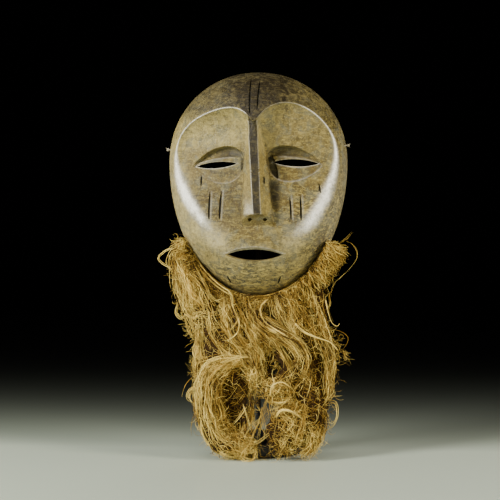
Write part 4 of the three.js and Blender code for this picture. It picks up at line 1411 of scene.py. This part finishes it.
def add_stray_fibres(beard, guide, count, light, wild):
    """Single curly fibres across a flow."""
    rng = beard.rng
    share = rng.uniform(0, 1, count)
    turn = rng.uniform(0, FULL_TURN, count)[:, None]
    centre = at_share(guide.line, share)
    outward = guide.outward(share, turn)
    start = centre[:, :3] + centre[:, 3:] * outward * rng.uniform(0.55, 1.05, (count, 1))
    heading = at_share(guide.along, share) + rng.normal(0, 0.45 + 0.6 * wild, (count, 3))
    away = (heading * outward).sum(axis=1, keepdims=True)
    heading = unit(heading - np.maximum(away, 0) * outward)
    length, bend = rng.uniform(7, 26, count), rng.uniform(0.0, 0.19, count)
    toward = 0.6 * rng.normal(size=(count, 3)) - 1.4 * outward
    lines = curly_lines(rng, start, heading, toward, length, bend, steps=7)
    # painted light: fibres on the front of a flow are made lighter
    tints = light + 0.15 + 0.12 * np.sin(turn[:, 0]) + rng.normal(0, 0.32, count)
    beard.add(lines, rng.uniform(0.3, 0.62, count), tints)


def add_wad(beard, centre, half, count, light):
    """Curly fibres that wrap round an ellipsoid every way."""
    rng = beard.rng
    direction = unit(rng.normal(size=(count, 3)) - [0, 0.45, 0])
    reach = rng.uniform(0.5, 1.0, (count, 1)) ** 0.6
    start = np.array(centre) + direction * reach * np.array(half)
    outward = unit(direction / np.array(half))
    heading = unit(np.cross(outward, rng.normal(size=(count, 3))) + 0.25 * rng.normal(size=(count, 3)))
    length, bend = rng.uniform(14, 42, count), rng.uniform(0.03, 0.13, count)
    lines = curly_lines(rng, start, heading, -outward, length, bend, steps=8)
    # painted shade: fibres deeper in the wad are made darker
    tints = light + 0.35 * (reach[:, 0] - 0.85) + rng.normal(0, 0.28, count)
    beard.add(lines, rng.uniform(0.3, 0.68, count), tints)


def collar_line(count):
    """The collar's middle line with its radius, from the right end to the left."""
    places = []
    for share in np.linspace(0, 1, count):
        on, outward = rim_way(mix(*COLLAR_ANGLES, share) * DEGREE)
        radius = np.interp(share, (0, 0.5, 1), COLLAR_RADII)
        centre = on + (radius - CHIN_COVER - 1) * outward
        centre[1] = BACK_PLANE - COLLAR_BACK - radius - COLLAR_FORWARD
        places.append([*centre, radius])
    return np.array(places)


def add_collar(beard, count):
    """Short fibres that bend over the band at the rim, across it, and comb outward."""
    rng, steps = beard.rng, 7
    line = collar_line(60)
    tangent = unit(np.gradient(line[:, :3], axis=0))
    outward = np.stack([-tangent[:, 2], 0 * tangent[:, 0], tangent[:, 0]], axis=1)
    outward = unit(np.where((outward[:, 2] > 0)[:, None], -outward, outward))
    share = rng.uniform(0, 1, count) ** 1.5
    centre = at_share(line, share)
    start = rng.uniform(-0.3, 1.9, count)[:, None]
    turn = start + rng.uniform(0.8, 1.9, count)[:, None] * np.linspace(0, 1, steps)
    flare = 1 + 0.35 * np.linspace(0, 1, steps) ** 2 * rng.uniform(0, 1, (count, 1))
    radius = (centre[:, 3] * rng.uniform(0.72, 1.1, count))[:, None] * flare
    # a turn of 0 faces the mask's rim, a quarter turn the front and a half turn away from the rim
    lines = centre[:, None, :3] - (radius * np.cos(turn))[..., None] * at_share(outward, share)[:, None]
    lines[..., 1] -= radius * np.sin(turn)
    grow = np.linspace(0, 1, steps)[None, :, None]
    slide = rng.normal(4, 5, (count, 1, 1)) * grow * at_share(tangent, share)[:, None]
    lines = lines + slide + noise_vector(lines + noise_seeds(rng, count), 7) * (1.2 + 3.4 * grow)
    tints = 0.46 - 0.2 * smooth(share, 0.45, 0.7) + 0.4 * smooth(share, 0.86, 0.96)
    tints = tints + rng.normal(0, 0.27, count)
    beard.add(lines, rng.uniform(0.35, 0.72, count), tints)


# Loose strands that stand out: places from end to end, how many lie together, how wide they spread,
# how light they are and how thick.
STRAYS = (
    (
        [
            (-88, -14, 221), (-98, -14, 218), (-107, -14, 210),
            (-102, -15, 203), (-92, -16, 197), (-89, -17, 190),
        ],
        3, 0.9, 0.85, 1.0,
    ),
    ([(-90, -13, 222), (-95, -13, 212), (-97, -14, 203), (-93, -15, 195)], 3, 1.2, 0.8, 0.7),
    ([(-81, -12, 229), (-91, -11, 230), (-102, -10, 231), (-110, -9, 229)], 2, 1.6, 0.7, 0.35),
    ([(-80, -12, 231), (-86, -12, 230), (-94, -12, 226)], 2, 1.4, 0.7, 0.35),
    ([(-75, -30, 151), (-66, -35, 147), (-59, -37, 152), (-55, -38, 157)], 12, 1.3, 0.98, 1.0),
    (
        [(-81, -22, 165), (-85, -22, 158), (-86, -23, 150), (-80, -24, 144), (-76, -26, 149)],
        6, 1.5, 0.75, 0.7,
    ),
    ([(-77, -24, 148), (-74, -24, 138), (-72, -25, 131), (-68, -26, 123)], 6, 1.7, 0.75, 0.6),
    (
        [
            (-67, -24, 209), (-54, -31, 203), (-41, -38, 192),
            (-31, -42, 181), (-25, -43, 167), (-28, -44, 153),
        ],
        5, 1.2, 0.9, 0.65,
    ),
    (
        [(-72, -21, 212), (-63, -30, 197), (-54, -37, 184), (-47, -42, 170), (-36, -43, 163)],
        5, 1.6, 0.75, 0.6,
    ),
    (
        [(-26, -42, 166), (-22, -47, 155), (-16, -53, 145), (-18, -56, 133), (-28, -56, 125)],
        5, 0.8, 0.95, 0.9,
    ),
    ([(-16, -51, 148), (-20, -54, 141), (-25, -55, 135)], 4, 1.0, 0.9, 0.8),
    (
        [(13, -38, 167), (6, -44, 161), (6, -48, 153), (12, -53, 143), (24, -58, 136), (40, -62, 128)],
        8, 0.9, 0.9, 1.0,
    ),
    ([(43, -58, 143), (53, -60, 134), (66, -56, 128), (79, -50, 123), (87, -44, 114)], 6, 0.8, 0.95, 1.0),
    ([(74, -26, 166), (77, -27, 153), (81, -28, 142), (87, -28, 138), (89, -28, 141)], 3, 0.8, 1.0, 0.95),
    ([(79, -30, 136), (91, -31, 133), (98, -31, 126), (94, -31, 116), (89, -32, 112)], 2, 0.8, 0.45, 0.5),
    (
        [
            (95, -12, 228), (103, -12, 223), (107, -12, 212), (101, -13, 201),
            (91, -14, 191), (82, -15, 182), (79, -16, 169),
        ],
        2, 0.9, 0.85, 0.35,
    ),
    ([(88, -12, 226), (96, -12, 232), (101, -12, 237)], 2, 1.2, 0.7, 0.35),
    ([(80, -16, 176), (77, -18, 170), (78, -18, 162), (76, -20, 155)], 3, 1.4, 0.6, 0.6),
    ([(77, -46, 60), (85, -46, 60), (87, -46, 49), (85, -47, 40), (80, -48, 33)], 4, 1.3, 0.85, 0.6),
    ([(-60, -46, 76), (-68, -46, 70), (-70, -46, 61), (-64, -47, 55)], 9, 2.2, 0.75, 0.7),
    ([(-60, -46, 52), (-66, -45, 41), (-68, -45, 30), (-67, -45, 22)], 2, 0.8, 0.5, 0.5),
    ([(-67, -42, 85), (-75, -42, 75), (-79, -42, 63)], 2, 0.8, 0.45, 0.5),
    ([(-54, -62, 47), (-55, -64, 35), (-51, -64, 22), (-44, -63, 12)], 9, 1.2, 0.85, 0.9),
    ([(-8, -62, 14), (-12, -66, 5), (-8, -70, 1.5), (-2, -71.5, 1)], 8, 2.4, 0.8, 0.6),
    ([(2, -62, 13), (1, -67, 4), (-2, -70, 1.5), (-6, -71.5, 1)], 6, 2.2, 0.8, 0.6),
    ([(18, -70, 68), (20, -71, 79), (30, -71, 83), (40, -69, 77)], 4, 0.7, 0.95, 0.9),
    ([(20, -71, 63), (30, -71.5, 62), (38, -71, 66)], 3, 0.7, 0.9, 0.8),
    ([(23, -70, 46), (29, -71.5, 54), (40, -71.5, 53), (51, -68, 45)], 8, 1.0, 0.92, 0.9),
    ([(13, -40, 111), (22, -42, 101), (29, -44, 92)], 3, 1.0, 0.8, 0.6),
    ([(30, -42, 107), (22, -42, 99), (15, -42, 88)], 3, 1.0, 0.75, 0.6),
    ([(10, -42, 95), (20, -42, 97), (28, -42, 103)], 2, 1.0, 0.75, 0.6),
    ([(8, -54, 56), (4, -56, 41), (-3, -58, 24), (-6, -60, 12)], 5, 1.5, 0.8, 0.7),
    ([(-9, -58, 56), (-15, -61, 46), (-23, -62, 37)], 3, 0.9, 0.92, 0.55),
    ([(-12, -58, 58), (-7, -60, 43), (-4, -61, 31)], 3, 1.1, 0.9, 0.55),
    ([(-50, -40, 118), (-38, -44, 112), (-26, -46, 102), (-16, -48, 98)], 5, 1.6, 0.85, 0.7),
    ([(-44, -40, 128), (-34, -44, 118), (-24, -46, 112)], 4, 1.6, 0.8, 0.6),
    ([(-34, -64, 102), (-20, -64, 106), (-8, -60, 108)], 5, 1.0, 0.9, 0.8),
    ([(-59, -36, 134), (-54, -38, 123), (-50, -40, 113), (-41, -43, 102)], 5, 2.0, 0.8, 0.5),
    ([(-46, -39, 134), (-51, -40, 121), (-55, -40, 108)], 5, 2.0, 0.85, 0.45),
    ([(-57, -37, 129), (-47, -40, 118), (-44, -42, 105)], 5, 2.2, 0.75, 0.45),
    ([(12, -50, 64), (9, -54, 51), (8, -57, 37), (4, -60, 21)], 4, 2.0, 0.8, 0.45),
    ([(-1, -52, 62), (7, -56, 50), (12, -59, 35), (11, -61, 21)], 3, 1.8, 0.85, 0.45),
    ([(16, -58, 52), (8, -59, 44), (1, -59, 37), (-8, -60, 34)], 3, 1.6, 0.75, 0.45),
    ([(19, -62, 30), (10, -62, 23), (2, -62, 19), (-6, -62, 21)], 4, 1.8, 0.8, 0.5),
    ([(10, -51, 59), (14, -54, 49), (11, -56, 41), (4, -58, 31)], 3, 1.6, 0.7, 0.45),
)


def add_strays(beard):
    """The loose strands that stand out, each in a thin bundle."""
    rng, steps = beard.rng, 14
    for places, count, spread, light, width in STRAYS:
        base = curve_points(places, steps)[None]
        shift = rng.normal(0, spread * 0.5, (count, 1, 3))
        lines = base + shift + noise_vector(base * 0.5 + noise_seeds(rng, count), 9) * spread
        beard.add(lines, width * rng.uniform(0.8, 1.1, count), light + rng.normal(0, 0.06, count), gaps=False)


def add_fuzz(beard, count):
    """Short fine hairs that stand off the whole mass."""
    rng = beard.rng
    picked = [flow[0] for flow in FLOWS.values()] + [collar_line(8)]
    some = count // len(picked)
    for places in picked:
        guide = Guide(places)
        share = rng.uniform(0, 1, some)
        turn = rng.uniform(0, FULL_TURN, some)[:, None]
        outward, centre = guide.outward(share, turn), at_share(guide.line, share)
        start = centre[:, :3] + outward * centre[:, 3:] * 0.9
        heading = unit(outward + 0.5 * at_share(guide.along, share) + rng.normal(0, 0.4, (some, 3)))
        length = rng.uniform(5, 15, some)
        toward = rng.normal(size=(some, 3))
        lines = curly_lines(rng, start, heading, toward, length, rng.uniform(0.05, 0.25, some), steps=6)
        beard.add(lines, rng.uniform(0.28, 0.42, some), rng.normal(0.66, 0.2, some), gaps=False)


# The matted inside: how fine its mesh is in metres, how far it is drawn in and how rough it is.
CORE_VOXEL = 0.0034
CORE_INSET, CORE_ROUGHNESS, CORE_ROUGHNESS_SIZE = 3.6, 1.6, 6
CORE_LOW_LEFT_SHIFT = 4.5


def make_beard_core():
    """The matted inside of the beard: the CAD solid, drawn in and roughened, and painted dark in front as the
    shade between the strands. Gives points and normals.
    """
    obj = new_object("beard_core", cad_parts["fibre_beard"].data.copy())
    remesh = obj.modifiers.new("remesh", "REMESH")
    remesh.mode = "VOXEL"
    remesh.voxel_size = CORE_VOXEL
    apply_modifiers(obj)
    points, normals = points_of(obj), vertex_vectors(obj, "normal")
    low_left = smooth(-points[:, 0], 36, 44) * smooth(60 - points[:, 2], 0, 10)
    outward = CORE_ROUGHNESS * noise(points, CORE_ROUGHNESS_SIZE) - CORE_INSET
    points = points + normals * outward[:, None]
    points[:, 0] += CORE_LOW_LEFT_SHIFT * low_left
    obj.data.vertices.foreach_set("co", (points * MM).astype(np.float32).ravel())
    set_field(obj, "behind", smooth(normals[:, 1], 0.1, 0.6))
    smooth_shade(obj)
    hand_over(obj, core_material(), "fibre_beard")
    return points, normals


def add_back(beard, points, normals, count):
    """Fibres that lie down the back of the matted inside."""
    rng = beard.rng
    behind = np.flatnonzero((normals[:, 1] > 0.15) & (points[:, 2] > 18))
    picked = rng.choice(behind, count)
    outward = normals[picked]
    down = np.cross(np.cross(outward, [0, 0, -1.0]), outward)
    heading = unit(down + rng.normal(0, 0.45, (count, 3)))
    start = points[picked] + 0.9 * outward
    length, bend = rng.uniform(12, 34, count), rng.uniform(0, 0.04, count)
    lines = curly_lines(rng, start, heading, -outward, length, bend, steps=7)
    beard.add(lines, rng.uniform(0.4, 0.8, count), 0.5 + rng.normal(0, 0.25, count))


COLLAR_FIBRES, FUZZ_FIBRES, BACK_FIBRES = 2000, 2300, 1300
FIBRE_SHARE = 1.0
RAFFIA = (0.035, 0.015, 0.004), (0.43, 0.252, 0.036), (1.0, 0.77, 0.22)


def make_beard(core_points, core_normals):
    beard, share = Beard(5), FIBRE_SHARE
    for places, clumps, light, wild, stray in FLOWS.values():
        add_flow(beard, places, int(clumps * share), light, wild, int(stray * share))
    for centre, half, count, light in WADS:
        add_wad(beard, centre, half, int(count * share), light)
    add_collar(beard, int(COLLAR_FIBRES * share))
    add_fuzz(beard, int(FUZZ_FIBRES * share))
    add_strays(beard)
    add_back(beard, core_points, core_normals, int(BACK_FIBRES * share))
    beard.pieces("beard_strands", fibre_material("raffia", *RAFFIA))


# Ties

TWINE_RADIUS, TIE_GAP = 1.1, 0.8
TIE_SQUARENESS = 0.35
TWINE_POINTS, TWINE_TWISTS, PLY_OFFSET, PLY_WIDTH = 90, 9, 0.45, 1.25
KNOT_RADIUS, KNOT_WRAPS, KNOT_WRAP_WIDTH, KNOT_OUT = 1.25, 5, 1.3, 0.5
TAIL_ENDS = ((2.2, -1.6, 1.6), (1.6, -1.2, -2))  # outward, back and up from the knot
TAIL_FIBRES, TAIL_WIDTH = 4, 0.7
# Each side's piece, the node it stands for and its seed.
TIE_PIECES = {-1: ("twine_left", "side_tie_left", 21), 1: ("twine_right", "side_tie_right", 22)}
PALE_TWINE = (0.13, 0.1, 0.055), (0.34, 0.29, 0.19), (0.52, 0.47, 0.37)


def tie_loop(node, on, outward):
    """The twine's path through the hole and round the rim's back, and the middle of the knot outside."""
    source = points_of(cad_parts[node])
    across = (source - on) @ outward
    loop_in, loop_out = -across.min() - TWINE_RADIUS, TIE_GAP + TWINE_RADIUS
    half_across, half_along = (loop_in + loop_out) / 2, (RIM_HOLE_DEPTH + TIE_GAP + TWINE_RADIUS) / 2
    centre = on + outward * (loop_out - half_across) + np.array([0, half_along, 0])
    turn = np.linspace(0, FULL_TURN, 97)

    def square(value):
        return np.sign(value) * np.abs(value) ** TIE_SQUARENESS

    path = centre + half_across * square(np.cos(turn))[:, None] * outward
    path[:, 1] -= half_along * square(np.sin(turn))
    return curve_points(path, TWINE_POINTS), centre + outward * (half_across + KNOT_OUT)


def twisted_plies(path, outward):
    """Two plies that wind round each other along the path."""
    lines = []
    for ply in (0, 1):
        phase = np.linspace(0, TWINE_TWISTS * FULL_TURN, len(path)) + ply * math.pi
        sideways, upward = np.cos(phase)[:, None] * outward, np.sin(phase)[:, None] * np.array([0, 0, 1.0])
        lines.append(path + PLY_OFFSET * (sideways + upward))
    return strand_parts(np.array(lines), np.full(2, PLY_WIDTH), sides=6)


def knot_wraps(rng, knot):
    """Rings of twine round the knot, each tilted its own way."""
    around = np.linspace(0, FULL_TURN, 24)[:, None]
    wraps = []
    for _ in range(KNOT_WRAPS):
        axis = unit(rng.normal(size=3))
        first = unit(np.cross(axis, [0.2, 0.3, 1.0]))
        second = np.cross(axis, first)
        wraps.append(knot + KNOT_RADIUS * (np.cos(around) * first + np.sin(around) * second))
    return strand_parts(np.array(wraps), np.full(KNOT_WRAPS, KNOT_WRAP_WIDTH), sides=6)


def tail(rng, knot, end):
    """A short end of twine that frays into single fibres."""
    share = np.linspace(0, 1, 8)[:, None]
    fibres = [mix(knot, end, share) + rng.normal(0, 0.15, 3) * share for _ in range(TAIL_FIBRES)]
    return strand_parts(np.stack(fibres), np.full(TAIL_FIBRES, TAIL_WIDTH), sides=4)


def make_tie(side):
    """A two-ply twine through the side hole and round the rim's back, knotted outside."""
    name, node, seed = TIE_PIECES[side]
    on, outward = rim_way(tie_angle(side))
    path, knot = tie_loop(node, on, outward)
    rng = np.random.default_rng(seed)
    parts = [twisted_plies(path, outward), knot_wraps(rng, knot)]
    for out, back, rise in TAIL_ENDS:
        parts.append(tail(rng, knot, knot + outward * out + np.array([0, back, rise])))
    points, faces = joined_parts(parts)
    points = np.clip(points, *in_mm(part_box(node)))
    obj = mesh_object(name, points, faces)
    set_field(obj, "tint", np.clip(0.6 + 0.3 * noise(points, 1.5), 0, 1))
    smooth_shade(obj)
    hand_over(obj, fibre_material("pale_twine", *PALE_TWINE), node)


# Stand

FOOT_EDGE = 1.5
TOP_RING, ROD_SOCKET_RADIUS, ROD_SOCKET_DEPTH = 12.0, 3.3, 11


def make_stand(material):
    """A smooth foot over the faceted one, with the same edges. The rod keeps its CAD shape."""
    high = in_mm(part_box("stand_base"))[1]
    radius, top = high[0], high[2]
    inner = radius - FOOT_EDGE
    bend = np.linspace(0, math.pi / 2, 6)
    profile = [(inner, 0.0)]
    profile += [(inner + FOOT_EDGE * math.sin(b), FOOT_EDGE - FOOT_EDGE * math.cos(b)) for b in bend[1:]]
    profile += [(inner + FOOT_EDGE * math.cos(b), top - FOOT_EDGE + FOOT_EDGE * math.sin(b)) for b in bend]
    profile += [(TOP_RING, top), (ROD_SOCKET_RADIUS, top), (ROD_SOCKET_RADIUS, top - ROD_SOCKET_DEPTH)]
    turn = turns(160)
    rings = [np.stack([r * np.cos(turn), r * np.sin(turn), 0 * turn + z], axis=1) for r, z in profile]
    points, faces = loft_parts(np.array(rings))
    base = mesh_object("round_foot", points, faces)
    smooth_shade(base, angle=40)
    hand_over(base, material, "stand_base")
    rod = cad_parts["stand_rod"]
    rod.data.materials.clear()
    rod.data.materials.append(material)


# Stage

FLOOR_HALF, FLOOR_DEPTH = 3200, 0.5
FLOOR_TINT, FLOOR_FAR_SHADE = (0.465, 0.52, 0.41), (0.0, 0.0, 0.0)
# the floor is painted darker further back, as a painted fall-off of light
DARK_FROM, DARK_REACH, DARK_BASE = 10, 150, 2.718  # how the floor falls off into the dark, further back

# The camera's and the lights' places and sizes are metres.
CAMERA_AZIMUTH, CAMERA_DISTANCE, CAMERA_HEIGHT = 4.5 * DEGREE, 1.6, 0.276
CAMERA_AIM, CAMERA_ANGLE = (0, 0, 0.224), 19.2 * DEGREE
IMAGE_SIZE = 500
IMAGE_SHIFT = (-8.5, -5.7)  # across and up, in pixels of the photograph

# Lights: name, place, what each points at, size, power, colour and whether it shows in reflections.
LIGHTS = (
    ("left_softbox", (-1.15, -0.95, 0.75), (0, 0, 0.27), (0.4, 0.6), 43, (1, 0.99, 0.95), True),
    ("right_softbox", (1.3, -0.6, 0.6), (0, 0, 0.27), (0.4, 0.7), 25, (1, 0.95, 0.87), False),
    ("top_fill", (0, -1.2, 1.7), (0, 0, 0.25), (0.9, 0.9), 8.5, (0.97, 0.99, 1), False),
    ("back_fill", (0.5, 1.7, 0.9), (0, 0, 0.25), (1.2, 1.2), 9, (1, 0.98, 0.94), False),
)
ROOM_TINT, ROOM_LIGHT = (0.5, 0.53, 0.5, 1), 0.001


def make_floor():
    """A pale floor that is painted darker further back, a painted fall-off of light into the dark behind the
    object.
    """
    corners = [(-1, -1), (1, -1), (1, 1), (-1, 1)]
    points = np.array([(x * FLOOR_HALF, y * FLOOR_HALF, -FLOOR_DEPTH) for x, y in corners])
    floor = mesh_object("floor", points, np.array([[0, 1, 2, 3]]))
    nodes = Nodes("pale_floor")
    place_on_floor = nodes.add("ShaderNodeSeparateXYZ")
    nodes.link(nodes.position(), place_on_floor.inputs[0])
    behind = nodes.math("MAXIMUM", nodes.math("SUBTRACT", place_on_floor.outputs["Y"], DARK_FROM), 0)
    painted_falloff = nodes.math("POWER", DARK_BASE, nodes.math("DIVIDE", behind, -DARK_REACH))
    color = nodes.blend(painted_falloff, FLOOR_FAR_SHADE, FLOOR_TINT)
    floor.data.materials.append(nodes.finish(color=color, roughness=0.5, specular=0.2))


def aim_at(obj, target):
    obj.rotation_euler = (Vector(target) - obj.location).to_track_quat("-Z", "Y").to_euler()


def add_camera():
    data = bpy.data.cameras.new("camera")
    camera = new_object("camera", data)
    across, forward = math.sin(CAMERA_AZIMUTH), -math.cos(CAMERA_AZIMUTH)
    camera.location = (CAMERA_DISTANCE * across, CAMERA_DISTANCE * forward, CAMERA_HEIGHT)
    aim_at(camera, CAMERA_AIM)
    data.angle = CAMERA_ANGLE
    data.shift_x, data.shift_y = (shift / IMAGE_SIZE for shift in IMAGE_SHIFT)
    data.clip_start = 0.05
    bpy.context.scene.camera = camera


def add_light(name, location, target, size, power, color, glossy):
    data = bpy.data.lights.new(name, "AREA")
    data.shape = "RECTANGLE"
    data.size, data.size_y = size
    data.energy = power
    data.color = color
    light = new_object(name, data)
    light.location = location
    light.visible_glossy = glossy
    aim_at(light, target)


def add_room():
    """The little light that comes from everywhere."""
    world = bpy.data.worlds.new("dark_room")
    world.use_nodes = True
    background = world.node_tree.nodes["Background"]
    background.inputs["Color"].default_value = ROOM_TINT
    background.inputs["Strength"].default_value = ROOM_LIGHT
    bpy.context.scene.world = world


add_camera()
for light_values in LIGHTS:
    add_light(*light_values)
add_room()
make_floor()
make_mask()
make_beard(*make_beard_core())
for tie_side in TIE_PIECES:
    make_tie(tie_side)
make_stand(black_material())
